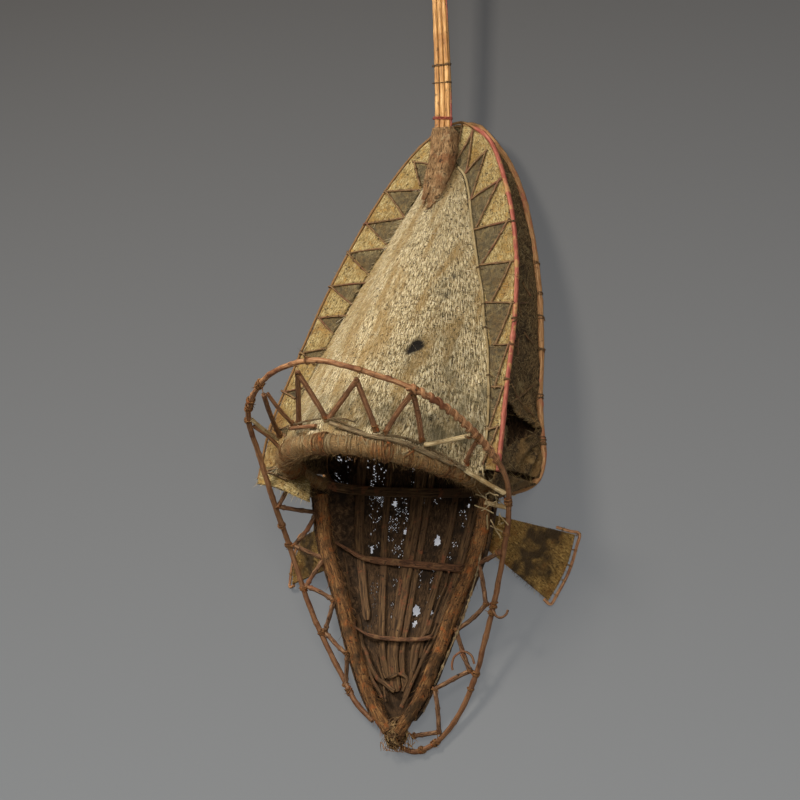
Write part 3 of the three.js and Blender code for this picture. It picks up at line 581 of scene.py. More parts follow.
def cloth_mesh(
    name, surface, cells, thickness, relief, keep=None, marks=None, width=None, jitter=0.0
):
    """A closed sheet of cloth on surface(u, v), inwards from it, with its fibres along v.
    relief(places, across, along) lifts it, keep(places) leaves out cells, both in
    millimetres, marks are more values for each point, as functions of places, and jitter
    moves the points inside the sheet by a share of a cell, so that its holes are irregular."""
    u, v = np.meshgrid(np.linspace(0, 1, cells[0] + 1), np.linspace(0, 1, cells[1] + 1),
                       indexing="ij")
    places = surface(u, v)
    along_u, along_v = np.gradient(places, axis=0), np.gradient(places, axis=1)
    normal = unit(np.cross(along_u, along_v))
    moves = np.random.default_rng(cells[0]).uniform(-jitter, jitter, u.shape + (2,))
    moves[[0, -1]] = 0
    moves[:, [0, -1]] = 0
    places = places + along_u * moves[..., :1] + along_v * moves[..., 1:]
    long = np.cumsum(np.linalg.norm(along_v, axis=-1), axis=1)
    wide = np.cumsum(np.linalg.norm(along_u, axis=-1), axis=0).max(axis=0).mean()
    across = u * (wide if width is None else width)
    lift = relief(places, across, long)[..., None]
    outer = places + normal * lift
    inner = places - normal * (thickness - 0.6 * lift)
    kept = np.ones(cells, bool)
    if keep is not None:
        middles = (places[1:, 1:] + places[:-1, :-1] + places[1:, :-1] + places[:-1, 1:]) / 4
        kept = keep(middles)
    number = np.arange(u.size).reshape(u.shape)
    back = number + u.size
    i, j = np.nonzero(kept)
    top = np.stack([number[i, j], number[i + 1, j], number[i + 1, j + 1], number[i, j + 1]], 1)
    faces = [top, top[:, [0, 3, 2, 1]] + u.size]
    padded = np.pad(kept, 1)
    edges = [
        ((-1, 0), (0, 1), (0, 0)), ((1, 0), (1, 0), (1, 1)),
        ((0, -1), (0, 0), (1, 0)), ((0, 1), (1, 1), (0, 1)),
    ]
    for (di, dj), a, b in edges:
        p, q = np.nonzero(kept & ~np.roll(padded, (-di, -dj), (0, 1))[1:-1, 1:-1])
        a, b = (p + a[0], q + a[1]), (p + b[0], q + b[1])
        faces.append(np.stack([number[b], number[a], back[a], back[b]], 1))
    faces = np.vstack(faces)
    used, faces = np.unique(faces, return_inverse=True)
    points = np.concatenate([outer.reshape(-1, 3), inner.reshape(-1, 3)])[used]
    mesh = bpy.data.meshes.new(name)
    mesh.from_pydata(metres(points).tolist(), [], faces.reshape(-1, 4).tolist())
    double = lambda values: np.concatenate([values.reshape(u.size, -1)] * 2)[used].squeeze()
    grain = stacked(across, 0, long) / 1000
    store(mesh, "grain", double(grain))
    store(mesh, "lie", double(-unit(along_v)))
    store(mesh, "outer", (used < u.size).astype(float))
    for mark, values in (marks or {}).items():
        store(mesh, mark, double(np.broadcast_to(values(places), u.shape)))
    mesh.shade_smooth()
    return mesh


def cloth(
    name, surface, cells, thickness, relief, material, slot, nodes, flat, area, rests_on, **more
):
    """A cloth piece in its material, riding on the mask. slot, rests_on, area and its flat size in
    metres (flat) are not used.
    """
    piece = placed(name, cloth_mesh(name, surface, cells, thickness, relief, **more))
    piece.data.materials.append(material)
    fixed(piece, slot, *nodes)
    return piece


def fibre_tree():
    """Loose fibres on a cloth, most of them laid along its own."""
    tree, node, given = start_tree("fibres_on_cloth", {
        "Length": 0.014, "Thickness": 0.0003, "Density": 50000.0, "Lift": 0.12, "Spread": 0.4,
        "Bend": 0.2, "Segments": 1, "Seed": 1,
    })
    outer = node("InputNamedAttribute", "outer")
    spots = node("DistributePointsOnFaces", {
        "Mesh": given["Geometry"], "Selection": node("GREATER_THAN", outer, 0.6),
        "Density": given["Density"], "Seed": given["Seed"],
    }, out=None).outputs
    lie = node("InputNamedAttribute", "lie", data_type="FLOAT_VECTOR")
    stray = node(
        "FunctionNodeRandomValue", (-1, -1, -1), (1, 1, 1),
        {"Seed": node("ADD", given["Seed"], 3)}, data_type="FLOAT_VECTOR")
    lying = node("ADD", lie, node("SCALE", stray, {"Scale": given["Spread"]}))
    lying = node("ADD", lying, node("SCALE", spots["Normal"], {"Scale": given["Lift"]}))
    turn = node("FunctionNodeAlignRotationToVector", {"Vector": lying}, axis="Z")
    bent = node("ShaderNodeCombineXYZ", {0: given["Bend"], 2: 0.5})
    strand = node("CurveQuadraticBezier", {
        "Resolution": 4, "Start": (0, 0, 0), "Middle": bent, "End": (0, 0, 1),
    })
    count = node("ADD", given["Segments"], 1)
    strand = node("ResampleCurve", {"Curve": strand, "Count": count})
    run = node("SplineParameter", out="Factor")
    strand = node(
        "StoreNamedAttribute", {"Geometry": strand, "Name": "run", "Value": run})
    thin = node("DIVIDE", given["Thickness"], given["Length"])
    ring = node("CurvePrimitiveCircle", {"Resolution": 3, "Radius": thin})
    taper = node("SUBTRACT", 1.0, node("MULTIPLY", run, 0.7))
    strand = node("CurveToMesh", {
        "Curve": strand, "Profile Curve": ring, "Scale": taper, "Fill Caps": True,
    })
    size = node(
        "FunctionNodeRandomValue", {2: 0.45, 3: 1.4, "Seed": node("ADD", given["Seed"], 5)}, out=1)
    strands = node("InstanceOnPoints", {
        "Points": spots["Points"], "Instance": strand, "Rotation": turn,
        "Scale": node("MULTIPLY", size, given["Length"]),
    })
    shade = node(
        "FunctionNodeRandomValue", {2: 0.0, 3: 1.0, "Seed": node("ADD", given["Seed"], 9)}, out=1)
    strands = node(
        "StoreNamedAttribute", {"Geometry": strands, "Name": "shade", "Value": shade},
        domain="INSTANCE")
    strands = node("RealizeInstances", strands)
    shade = node("InputNamedAttribute", "shade")
    run = node("InputNamedAttribute", "run")
    grain = node("ShaderNodeCombineXYZ", {
        0: node("MULTIPLY", shade, 0.9), 2: node("MULTIPLY", run, given["Length"]),
    })
    strands = node(
        "StoreNamedAttribute", {"Geometry": strands, "Name": "grain", "Value": grain},
        data_type="FLOAT_VECTOR")
    return end_tree(tree, strands, given["Material"])


FIBRE_TREE = fibre_tree()


def fibres(name, piece, material, slot, length, thickness, **numbers):
    """Loose fibres standing on a finished piece. Lengths are in millimetres."""
    mesh = piece.data.copy()
    mesh.materials.clear()
    size = dict(length=length / 1000, thickness=thickness / 1000)
    return fixed(grown(name, mesh, FIBRE_TREE, material, **size, **numbers), slot)


def in_oval(places, x, y, wide, long):
    """0 in the middle of an oval seen from above, 1 at its rim."""
    return ((places[..., 0] - x) / wide) ** 2 + ((places[..., 1] - y) / long) ** 2


def spots_of(marks):
    """How strongly oval marks (x, y, half width, half length, strength) tell at places."""
    return lambda places: sum(
        much * np.exp(-in_oval(places, *oval)) for *oval, much in marks)


def hood_mould(places):
    """Mould in ragged patches, kept to where it has taken."""
    ragged = wander(places, 14, 3, layers=3)
    return np.clip(spots_of(HOOD_MOULD)(places) * (0.75 + 0.6 * ragged), 0, 1)


def hood_tone(places):
    """Long drifts of tone that follow the fibres, as the inner bark gave them, and more of the
    yellow-brown tone towards the left side.
    """
    x, y = places[..., 0], places[..., 1]
    drifts = 0.8 * wander(stacked(x / 9, y / 55), 1, 4, layers=2)
    fine = 0.5 * wander(stacked(x / 4, y / 22, 5), 1, 6)
    return np.clip(0.35 + 0.35 * np.clip((10 - x) / 60, 0, 1) + drifts + fine, 0, 1)


def hood_relief(places, across, along):
    """Long low ridges of fibre, slack lumps, and the sunk stains and holes."""
    x, y = places[..., 0], places[..., 1]
    ridges = 0.5 * wander(stacked(across / 2.6, along / 12), 1, 5, layers=2)
    deep = 0.8 + 0.9 * np.clip(x / 90, -0.4, 1)
    pits = deep * np.clip(wander(stacked(across / 3.4, along / 6, 9), 1, 8) - 0.3, 0, 1) * 1.8
    folds = 2.2 * np.clip((70 - y) / 90, 0, 1) * wander(stacked(x / 15, y / 60, 4), 1, 3, layers=2)
    sunk = 1.6 * np.clip(spots_of(HOOD_STAINS_AND_HOLES)(places), 0, 1.2)
    return ridges - pits + 1.5 * wander(places, 34, 2) + folds - sunk - 0.4


# Beaten bark cloth, unpainted: felted cream fibres over darker gaps, matt as paper.
pale_barkcloth = streaked_finish(
    "beaten_barkcloth_pale", (1.2, 8.0),
    {0.36: "#2b2115", 0.44: "#7b6b4a", 0.5: "#b5a379", 0.58: "#ece1bf"},
    [
        ("tone", "#977c4b", 0.35, 1.2), (3.4, "#453823", 0.58, 0.66), (1.9, "#2b2115", 0.6, 0.67),
        # The near-black overlay is the dark stains, and painted shade in the holes.
        ("mould", "#5d563f", 0.15, 1.1), ("stain_and_hole_shade", "#110c07", 0.2, 0.8),
    ],
    relief=1.4, roughness=0.93, sheen=0.05)
# The same cloth's raised fibres: lighter, with some brown ones.
pale_fibres = streaked_finish(
    "barkcloth_fibres_pale", (60.0, 30.0),
    {0.3: "#5c4a2e", 0.41: "#ac986d", 0.53: "#dccfa9", 0.68: "#f4edd8"},
    [
        ("tone", "#b59b61", 0.4, 1.3), ("mould", "#79725a", 0.15, 1.2),
        # Near-black on the stains, and painted shade in the holes.
        ("stain_and_hole_shade", "#1c150d", 0.2, 0.8),
    ], relief=0.0)
hood = cloth(
    "hood", hood_surface, HOOD_CELLS, CLOTH, hood_relief, pale_barkcloth, "pale_barkcloth",
    ["hood_cloth"], flat=HOOD_SIZE, area=HOOD_AREA, rests_on=["head_ring", "border_cloth"],
    marks={"mould": hood_mould, "stain_and_hole_shade": spots_of(HOOD_STAINS_AND_HOLES), "tone": hood_tone}, width=260)
fibres(
    "hood_fibres", hood, pale_fibres, "pale_barkcloth", length=10.0, thickness=0.17,
    density=130000.0, lift=0.04, spread=0.85, seed=11)


# The border round the hood: tan bark cloth laced to the back edge, painted with dark triangles
# that are outlined by thin canes. A pale split cane covers the seam along the hood's right foot.
BORDER_CELLS = (460, 16)
BORDER_SIZE = (0.05, 1.0)
BORDER_AREA = 0.0305
# Each triangle: its upper corner at the hood, its point, and its lower corner at the hood.
TRIANGLES_LEFT = [
    ((-30, 324), (-46, 327), (-33, 300)), ((-35, 291), (-75, 291), (-45, 260)),
    ((-47, 256), (-91, 251), (-57, 223)), ((-58, 219), (-105, 214), (-73, 188)),
    ((-76, 176), (-118, 173), (-86, 151)), ((-90, 136), (-124, 134), (-102, 116)),
    ((-107, 96), (-135, 91), (-117, 78)), ((-123, 50), (-148, 44), (-131, 36)),
    ((-125, 5), (-145, -1), (-130, -10)), ((-128, -45), (-148, -51), (-118, -60)),
]
TRIANGLES_RIGHT = [
    ((-4, 370), (5, 370), (5, 343)), ((10, 332), (21, 362), (25, 311)),
    ((25, 311), (44, 336), (39, 281)), ((39, 277), (69, 298), (54, 242)),
    ((53, 239), (91, 247), (72, 199)), ((71, 195), (107, 198), (94, 153)),
    ((90, 149), (119, 148), (110, 100)), ((110, 99), (126, 99), (120, 48)),
    ((120, 49), (130, 48), (124, 1)), ((123, 1), (134, 3), (126, -37)),
]
SEAM = [
    (13, 318), (23, 308), (33, 288), (43, 258), (53, 230), (69, 187), (80, 159), (91, 122),
    (100, 98), (108, 67), (116, 34), (122, -1), (125, -28),
]
OUTLINE_RADIUS = 1.25


def line_at(line):
    """Places by their share of a line's length."""
    run = np.append(0, np.cumsum(np.linalg.norm(np.diff(line, axis=0), axis=1)))
    return lambda share: np.stack(
        [np.interp(share, run / run[-1], axis) for axis in line.T], axis=-1)


HOOD_SIDE = (-44, 22, 108, 192, 262, 306)
border_inner = [(hood_foot(-1.0, y), y) for y in HOOD_SIDE]
border_inner += [(0, HOOD_POINT + 2)] + [(hood_foot(1.0, y), y) for y in HOOD_SIDE[::-1]]
border_inner = line_at(curve_through([(x, y, back_height(y)) for x, y in border_inner]))
back_edge_at = line_at(back_line)
front_edge_at = line_at(front_line)


def border_surface(u, v):
    """The border's cloth: u along the edge from the lower left, v outwards."""
    edge, inner = back_edge_at(u), border_inner(u)
    gap = np.linalg.norm(edge - inner, axis=-1, keepdims=True)
    edge = edge + (inner - edge) * np.minimum(3.0 / gap, 0.9)
    places = inner + (edge - inner) * v[..., None]
    places[..., 2] = back_height(places[..., 1]) + CLOTH / 2
    return places


# Another triangle is left at the foot of the left side, below the last of the row.
HEM_TRIANGLE = [(-149, -46), (-124, -60), (-122, -44)]


def depth_in(corners, places):
    """How far inside a flat triangle places are, in millimetres."""
    middle = np.mean(corners, axis=0)
    depth = np.full(places.shape[:-1], 99.0)
    for a, b in zip(np.array(corners), np.roll(corners, -1, axis=0)):
        across = unit([b[1] - a[1], a[0] - b[0]])
        across = across * np.sign((middle - a) @ across)
        depth = np.minimum(depth, (places - a) @ across)
    return depth


def painted(places, triangles=TRIANGLES_LEFT + TRIANGLES_RIGHT, further=10):
    """Half at the outline of the nearest triangle, more inside, less outside. Their inner
    corners reach further, under the hood."""
    depth = np.full(places.shape[:-1], -9.0)
    for corners in triangles:
        corners = np.array(corners, float)
        corners[[0, 2]] += further * unit(corners[[0, 2]] - corners[1])
        depth = np.maximum(depth, depth_in(corners, places[..., :2]))
    return np.clip(0.5 + depth / 8, 0, 0.52 + 0.02 * wander(places, 3, 16, layers=2))


def worn_edge(places):
    """Brown staining that gathers along the outer edge and the corners."""
    near = 1 - np.clip(np.abs(places[..., 0]) / 160, 0, 1)
    return np.clip(0.55 - near + 0.35 * wander(places, 18, 4, layers=3), 0, 1)


def on_border(x, y, lift=0.0):
    """A place on the border's cloth."""
    return np.array([x, y, back_height(y) + CLOTH / 2 + lift])


def border_relief(places, across, along):
    """Fine ridges and a slight slackness between the stitches."""
    grain = stacked(across / 16, along / 2.6)
    return 0.3 * wander(grain, 1, 6, layers=2) + 0.35 * wander(places, 24, 9)


# Bark cloth smoked tan, with the triangles painted in a grey-green earth colour.
tan_barkcloth = streaked_finish(
    "beaten_barkcloth_tan", (7.0, 1.1),
    {0.3: "#43341b", 0.42: "#7c683f", 0.52: "#a2905f", 0.66: "#cfc197"},
    [
        (24.0, "#7f6535", 0.46, 0.66), (6.0, "#a98a50", 0.55, 0.68), (4.5, "#3b2b16", 0.6, 0.68),
        ("worn", "#7d5528", 0.3, 1.0), ("paint", "#453e30", 0.46, 0.54),
        (1.9, "#2c261a", 0.57, 0.68),
    ],
    relief=0.8, roughness=0.92)
tan_fibres = streaked_finish(
    "barkcloth_fibres_tan", (60.0, 30.0),
    {0.3: "#4b3a1e", 0.46: "#9a8558", 0.66: "#d8cba5"},
    [("worn", "#8c6434", 0.35, 1.1), ("paint", "#625b49", 0.46, 0.54)], relief=0.0,
    roughness=0.9)


def border_paint(places):
    """The painted triangles of the border, with the one at the foot of the left side."""
    return np.maximum(painted(places), painted(places, [HEM_TRIANGLE], 0))


border = cloth(
    "border", border_surface, BORDER_CELLS, CLOTH, border_relief, tan_barkcloth,
    "tan_barkcloth", ["border_cloth"], flat=BORDER_SIZE, area=BORDER_AREA,
    rests_on=["back_edge"], marks={"paint": border_paint, "worn": worn_edge}, width=1010)
TAN_FIBRES = dict(length=6.5, thickness=0.17, density=115000.0, lift=0.05, spread=0.9)
fibres("border_fibres", border, tan_fibres, "tan_barkcloth", seed=23, **TAN_FIBRES)

# A torn end of the same cloth hangs below the lower left corner, between the board's foot
# and the head ring: its upper and lower edges.
HEM_TOP = [(-153, -46), (-140, -44), (-124, -43), (-104, -50), (-86, -62)]
HEM_FOOT = [(-153, -66), (-138, -67.5), (-122, -71), (-104, -78), (-80, -86)]
HEM_CELLS = (44, 16)
HEM_SIZE = (0.076, 0.024)
HEM_AREA = 0.0016
hem_top = line_at(curve_through([(x, y, 0) for x, y in HEM_TOP]))
hem_foot = line_at(curve_through([(x, y, 0) for x, y in HEM_FOOT]))


def hem_surface(u, v):
    """The torn end: u from the corner to the ring, v up from its foot."""
    places = hem_foot(u) + (hem_top(u) - hem_foot(u)) * v[..., None]
    places[..., 2] = back_height(places[..., 1]) + CLOTH / 2 - 1.5 * np.sin(math.pi * u)
    return places


def hem_kept(places):
    """Frays the foot of the torn end."""
    over = places[..., 1] - np.interp(places[..., 0], *np.array(HEM_FOOT).T)
    return wander(places, 6, 34) > np.interp(over, (0, 3), (0.2, -9))


hem = cloth(
    "hem", hem_surface, HEM_CELLS, CLOTH * 0.8,
    lambda places, across, along: 0.8 * wander(places, 9, 33, layers=2), tan_barkcloth,
    "tan_barkcloth", [], flat=HEM_SIZE, area=HEM_AREA, rests_on=["back_edge"], keep=hem_kept,
    marks={"paint": lambda places: painted(places, [HEM_TRIANGLE], 0), "worn": worn_edge})
fibres("hem_fibres", hem, tan_fibres, "tan_barkcloth", seed=27, **TAN_FIBRES)

# Thin split canes, brown with bark on one side, that outline the triangles.
brown_cane = streaked_finish(
    "brown_cane_in_bark", (0.9, 9.0),
    {0.27: "#2b1c12", 0.44: "#584027", 0.58: "#7e6341", 0.76: "#a88d63"},
    [(20.0, "#6d4630", 0.52, 0.66), (5.0, "#2b1b10", 0.6, 0.72)], roughness=0.68)
# Split cane bleached by age: pale and dry, with straight grain.
pale_cane = streaked_finish(
    "split_cane_bleached", (0.8, 12.0),
    {0.27: "#5f4d33", 0.42: "#9c8863", 0.56: "#bfad86", 0.76: "#dccfab"},
    [
        (16.0, "#8d7650", 0.52, 0.66), (5.0, "#4d3b24", 0.6, 0.72), ("bleach_and_painted_light", "#7b6d4b", 0.2, 1.4),
    ], roughness=0.78)
rng = np.random.default_rng(4)
outlines = {"left": [], "right": []}
for side, triangles in (("left", TRIANGLES_LEFT), ("right", TRIANGLES_RIGHT)):
    for upper, point, lower in triangles:
        for start, end in ((upper, point), (point, lower)):
            start, end = np.array((start, end), float)
            over = rng.uniform(1.0, 4.5, 2)
            start, end = start - over[0] * unit(end - start), end + over[1] * unit(end - start)
            middle = (start + end) / 2 + rng.normal(0, 0.9, 2)
            radius = OUTLINE_RADIUS * rng.uniform(0.85, 1.15)
            rod = curve_through([on_border(*p, lift=radius) for p in (start, middle, end)], 2.0)
            outlines[side].append((rod, None, radius / OUTLINE_RADIUS))
for side, rods in outlines.items():
    canes(
        f"triangle_canes_{side}", rods, brown_cane, "brown_cane", [f"teeth_{side}"],
        radius=OUTLINE_RADIUS, sides=7, bark_depth=0.6)
seam_line = curve_through([on_border(x, y, 1.4) for x, y in SEAM], 2.0)
canes(
    "seam_split_cane", [(seam_line, (1.0, 0.0, 0.0), 1.0, 1.0)], pale_cane, "bare_cane",
    ["seam_cane"], radius=1.5, flatness=0.62, squareness=0.7, sides=10, bark_depth=0.3,
    knot_spacing=120.0, knot_swell=0.2)


# Thin dark thread in loose overcast stitches: along the seam, and where the outlining canes
# are caught down. Each stitch is one loop round its cane, into the cloth.
def index_near(line, place):
    """Which point of a line is nearest to a place."""
    return int(np.argmin(np.linalg.norm(line - place, axis=1)))


def loop_over(place, direction, radius, turns=1.0, pitch=1.1, start=0.0):
    """Loops of thread round a cane at a place: a helix about the cane's direction."""
    direction = unit(direction)
    side = unit(np.cross(direction, (0.2, 0.1, 1.0)))
    up = np.cross(direction, side)
    count = max(int(turns * 12), 8)
    angle = start + np.linspace(0, 2 * math.pi * turns, count)[:, None]
    run = np.linspace(-0.5, 0.5, count)[:, None] * pitch * turns
    return place + direction * run + radius * (side * np.cos(angle) + up * np.sin(angle))


dark_thread = streaked_finish(
    "plant_fibre_thread_dark", (0.5, 3.0),
    {0.3: "#2e2117", 0.5: "#5a4630", 0.7: "#7d6647"}, relief=0.1)
stitches = []
seam_heading = heading(seam_line)
SEAM_STITCHES = [(72, 193), (85, 147), (92, 119), (107, 62), (115, 38), (122, 4)]
for spot in SEAM_STITCHES:
    i = index_near(seam_line[:, :2], spot)
    stitches.append(loop_over(seam_line[i], seam_heading[i], 2.3, 1.4, 1.0, rng.uniform(0, 3)))
    tail = seam_line[i] + np.array([[2.0, 0, 0], [4.5, -1.5, 0.4], [6.5, -0.5, 0.3]])
    stitches.append(curve_through(tail + rng.normal(0, 0.4, (3, 3)) * (1, 1, 0.2), 1.0))
for rods, every in ((outlines["right"], 2), (outlines["left"], 3)):
    for rod, _, _ in rods[1::every]:
        for i in (len(rod) // 3, 2 * len(rod) // 3):
            if len(rod) > 12:
                way = heading(rod)[i]
                stitches.append(loop_over(rod[i], way, 1.75, 1.1, 1.0, rng.uniform(0, 3)))
canes(
    "border_stitches", stitches, dark_thread, "fibre", radius=0.42, step=1.0, sides=5)


# The sides of the board: dark, woolly bark cloth sewn between the two edge canes. It is torn
# open at the lower right, with folds that run to the knot at the corner.
GUSSET_HOLLOW = 5
GUSSET_CELLS = (440, 28)
GUSSET_SIZE = (0.10, 1.03)
GUSSET_AREA = 0.062
TEAR = [(38, 92), (21, 9), (-18, 92)]
CORNER_KNOT = (141, 8, 8)
WORN_CORNER = (141, 0, 20)


def gusset_surface(u, v):
    """The sides: u along the edges from the lower left, v from the back edge to the front."""
    back, front = back_edge_at(u), front_edge_at(u)
    gap = np.linalg.norm(back - front, axis=-1)
    room = 3.0 / gap
    share = room + (1 - 2 * room) * v
    places = back + (front - back) * share[..., None]
    inwards = stacked(-places[..., 0], 120 - places[..., 1])
    return places + unit(inwards) * (GUSSET_HOLLOW * np.sin(math.pi * share))[..., None]


def inside_tear(places):
    """How far inside the ragged tear on the right side places are, in millimetres."""
    ragged = 2.2 * wander(places, 7, 12, layers=3)
    depth = depth_in(TEAR, places[..., 1:])
    return np.where(places[..., 0] > 0, depth + ragged, -99.0)


def gusset_relief(places, across, along):
    """Felted lumps, and folds at the lower right that fan out from the corner knot."""
    lumps = 0.9 * wander(places, 6, 3, layers=3) + 1.2 * wander(places, 28, 5)
    away = places - CORNER_KNOT
    angle = np.arctan2(away[..., 2], -away[..., 1])
    gap = np.linalg.norm(away, axis=-1)
    near = np.clip(1.3 - gap / 75, 0, 1) * (places[..., 0] > 0) * np.clip(gap / 20, 0, 1)
    curl = np.exp(-(inside_tear(places) / 3.5) ** 2)
    return lumps - 0.6 + 4.4 * near * np.sin(11 * angle + 0.05 * gap) + 2.0 * curl


def gusset_wear_and_highlight(places):
    """Tan wear and painted highlight on the folds and at the torn edge of the right side."""
    away = np.linalg.norm(places - WORN_CORNER, axis=-1)
    near = np.clip(1.2 - away / 70, 0, 1) * (places[..., 0] > 0)
    return np.clip(near * (0.4 + 0.8 * wander(places, 11, 21, layers=3)), 0, 1)


# Bark cloth left rough and smoked dark: tangled grey-brown wool over near-black felt.
dark_barkcloth = streaked_finish(
    "rough_barkcloth_dark", (4.5, 1.6),
    {0.3: "#1b140c", 0.43: "#453522", 0.55: "#6e5939", 0.72: "#9c865d"},
    [
        (22.0, "#3c2d1b", 0.5, 0.66), (15.0, "#80714f", 0.58, 0.72), (3.2, "#19110a", 0.56, 0.67),
        # tan: wear, and painted highlight on the folds of the right side; random tone on the foot
        # cloths.
        ("tan", "#957344", 0.25, 1.2),
    ],
    relief=1.2, roughness=0.95)
dark_fibres = streaked_finish(
    "barkcloth_fibres_dark", (60.0, 30.0),
    {0.3: "#3b2c1a", 0.46: "#6f5c3c", 0.6: "#9a875f", 0.76: "#c4b48a"},
    [("tan", "#a98a55", 0.3, 1.4)], relief=0.0)
gusset = cloth(
    "gusset", gusset_surface, GUSSET_CELLS, CLOTH, gusset_relief, dark_barkcloth,
    "dark_barkcloth", ["gusset_cloth"], flat=GUSSET_SIZE, area=GUSSET_AREA,
    rests_on=["back_edge", "front_edge"], keep=lambda places: inside_tear(places) < 0,
    marks={"tan": gusset_wear_and_highlight}, width=1000)
fibres(
    "gusset_fibres", gusset, dark_fibres, "dark_barkcloth", length=7.5, thickness=0.19,
    density=105000.0, lift=0.22, spread=1.5, seed=37)


# The front of the board, seen through the head opening and from below: thin dark cloth, drawn
# in towards the jaw and eaten through with pinholes.
FRONT_FLOOR = -47
FRONT_LAP = 7
FRONT_FLOOR_SWEEP = 18
DRAWN_IN = 15.5
DRAWN_SIDES = (82, 122)
DRAWN_HEIGHTS = (70, 190)
FRONT_CELLS = (118, 130)
FRONT_SIZE = (0.30, 0.44)
FRONT_AREA = 0.090

front_half = graph_through(FRONT_HALF + [(1, FRONT_POINT[1])])


def eased(value, low, high):
    """Zero below low, one above high, and smooth between."""
    share = np.clip((value - low) / (high - low), 0, 1)
    return share * share * (3 - 2 * share)


def front_surface(u, v):
    """The front cloth's inner face: u from left to right, v from the foot to the point. Its
    foot laps under the jaw's skin, and its cells are finest at the foot, where it is eaten."""
    t = 2 * u - 1
    low = FRONT_FLOOR - FRONT_LAP + FRONT_FLOOR_SWEEP * np.abs(t) ** 9
    y = low + (FRONT_POINT[1] - 8 - low) * v ** 1.7
    x = (0.6 * t + 0.4 * t ** 3) * np.maximum(front_half(y) - 2.5, 2)
    lift = DRAWN_IN * (1 - eased(np.abs(x), *DRAWN_SIDES)) * (1 - eased(y, *DRAWN_HEIGHTS))
    return stacked(x, y, CLOTH + lift)


def pinholes(zones, seed):
    """Leaves out scattered cells, no two side by side: zones are (x, y, half width, half
    length, share)."""
    rng = np.random.default_rng(seed)

    def keep(places):
        odd = np.indices(places.shape[:-1]).sum(axis=0) % 2 == 1
        chance = 0
        for *oval, share in zones:
            chance = np.maximum(chance, share * (in_oval(places, *oval) < 1))
        moth = wander(places, 7, seed, layers=3)
        eaten = rng.random(places.shape[:-1]) < chance * np.clip(1.0 + 2.6 * moth, 0, 4)
        return ~eaten | odd

    return keep


# Worn places in the front cloth, behind the opening.
FRONT_WORN = [(-112, -22, 13, 32, 0.36), (-60, -12, 20, 38, 0.34), (-8, -10, 14, 38, 0.2),
              (33, -14, 12, 28, 0.12), (70, -20, 12, 20, 0.1)]
brown_barkcloth = streaked_finish(
    "thin_barkcloth_brown", (1.4, 7.0),
    {0.28: "#1a120b", 0.44: "#362718", 0.58: "#553f29", 0.76: "#7a6042"},
    [(22.0, "#241a10", 0.48, 0.66), (4.0, "#110b06", 0.58, 0.7)], relief=0.6, roughness=0.93)
cloth(
    "front", front_surface, FRONT_CELLS, CLOTH * 0.8,
    lambda places, across, along: 0.5 * wander(places, 9, 4, layers=2), brown_barkcloth,
    "brown_barkcloth", ["front_cloth"], flat=FRONT_SIZE, area=FRONT_AREA,
    rests_on=["front_edge"], keep=pinholes(FRONT_WORN, 7), width=270, jitter=0.42)


# The head ring: a hoop of bundled cane wound tightly with bark fibre, orange-brown inside and
# yellow-grey over the top, which is bleach and painted light on the side towards the lamps. A flat
# wooden band closes it across the jaw.
RING_MIDDLE = (-4, 98)
RING_HALF_WIDTH = 107
RING_RISE = 124
RING_DROP = 74
RING_UPPER_POWER = 1.7
RING_LOWER_POWER = 3.4
RING_TILT = 0.06
RING_PLACE = -55.7
RING_LAP = math.radians(24)
BAND_WIDTH = 11
BAND_THICKNESS = 3.6


def ring_point(angle):
    """A place on the middle line of the ring, from its right side over the top."""
    cos, sin = np.cos(angle), np.sin(angle)
    power = 2 / np.where(sin >= 0, RING_UPPER_POWER, RING_LOWER_POWER)
    reach = np.where(sin >= 0, RING_RISE, RING_DROP)
    x = RING_MIDDLE[0] + RING_HALF_WIDTH * np.sign(cos) * np.abs(cos) ** power
    z = RING_MIDDLE[1] + np.sign(sin) * reach * np.abs(sin) ** power
    return stacked(x, RING_PLACE + RING_TILT * z, z)


def coil(line, radius, pitch, seed, first=0.0, last=1.0, stray=0.12, step=1.6):
    """A strand wound round a line: its points, with the line's direction as the wide way.
    radius is one number, or a value for a share of the way along."""
    line = evenly(line, 0.5)
    count = len(line)
    line = line[int(first * (count - 1)):int(last * (count - 1)) + 1]
    way = heading(line)
    length = 0.5 * (len(line) - 1)
    turns = length / pitch
    widest = radius(0.5) if callable(radius) else radius
    samples = max(int(turns * 2 * math.pi * widest / step), 12)
    share = np.linspace(0, 1, samples)
    radius = radius(share) if callable(radius) else radius
    place = line_at(line)(share)
    way = unit(line_at(way)(share))
    side = unit(np.cross(way, (0.13, 0.21, 0.97)))
    up = np.cross(way, side)
    spot = stacked(share * length / 9, 0)
    angle = 2 * math.pi * turns * share + stray * 9 * wander(spot, 1, seed, layers=2)
    far = radius * (1 + stray * 0.5 * wander(spot * 3, 1, seed + 2))
    slip = stray * pitch * 3 * wander(spot * 2, 1, seed + 4)
    points = place + far[:, None] * (
        side * np.cos(angle)[:, None] + up * np.sin(angle)[:, None]) + way * slip[:, None]
    return points, way


ring_line = evenly(ring_point(np.linspace(-RING_LAP, math.pi + RING_LAP, 400)), 2.0)
# Bast fibre wound wet and left to dry: orange-brown, hairy, and painted paler on the side that faces
# the lamps, as bleach and painted light.
ring_fibre = streaked_finish(
    "bast_fibre_winding", (0.8, 4.0),
    {0.28: "#37240f", 0.42: "#71512f", 0.55: "#9b784a", 0.72: "#c4a677"},
    [
        (16.0, "#935a2a", 0.52, 0.66), (4.0, "#3b2712", 0.58, 0.7),
        ("bleach_and_painted_light", "#958565", 0.3, 0.9), (1.8, "#2e2010", 0.62, 0.7),
    ],
    relief=0.8, roughness=0.94)


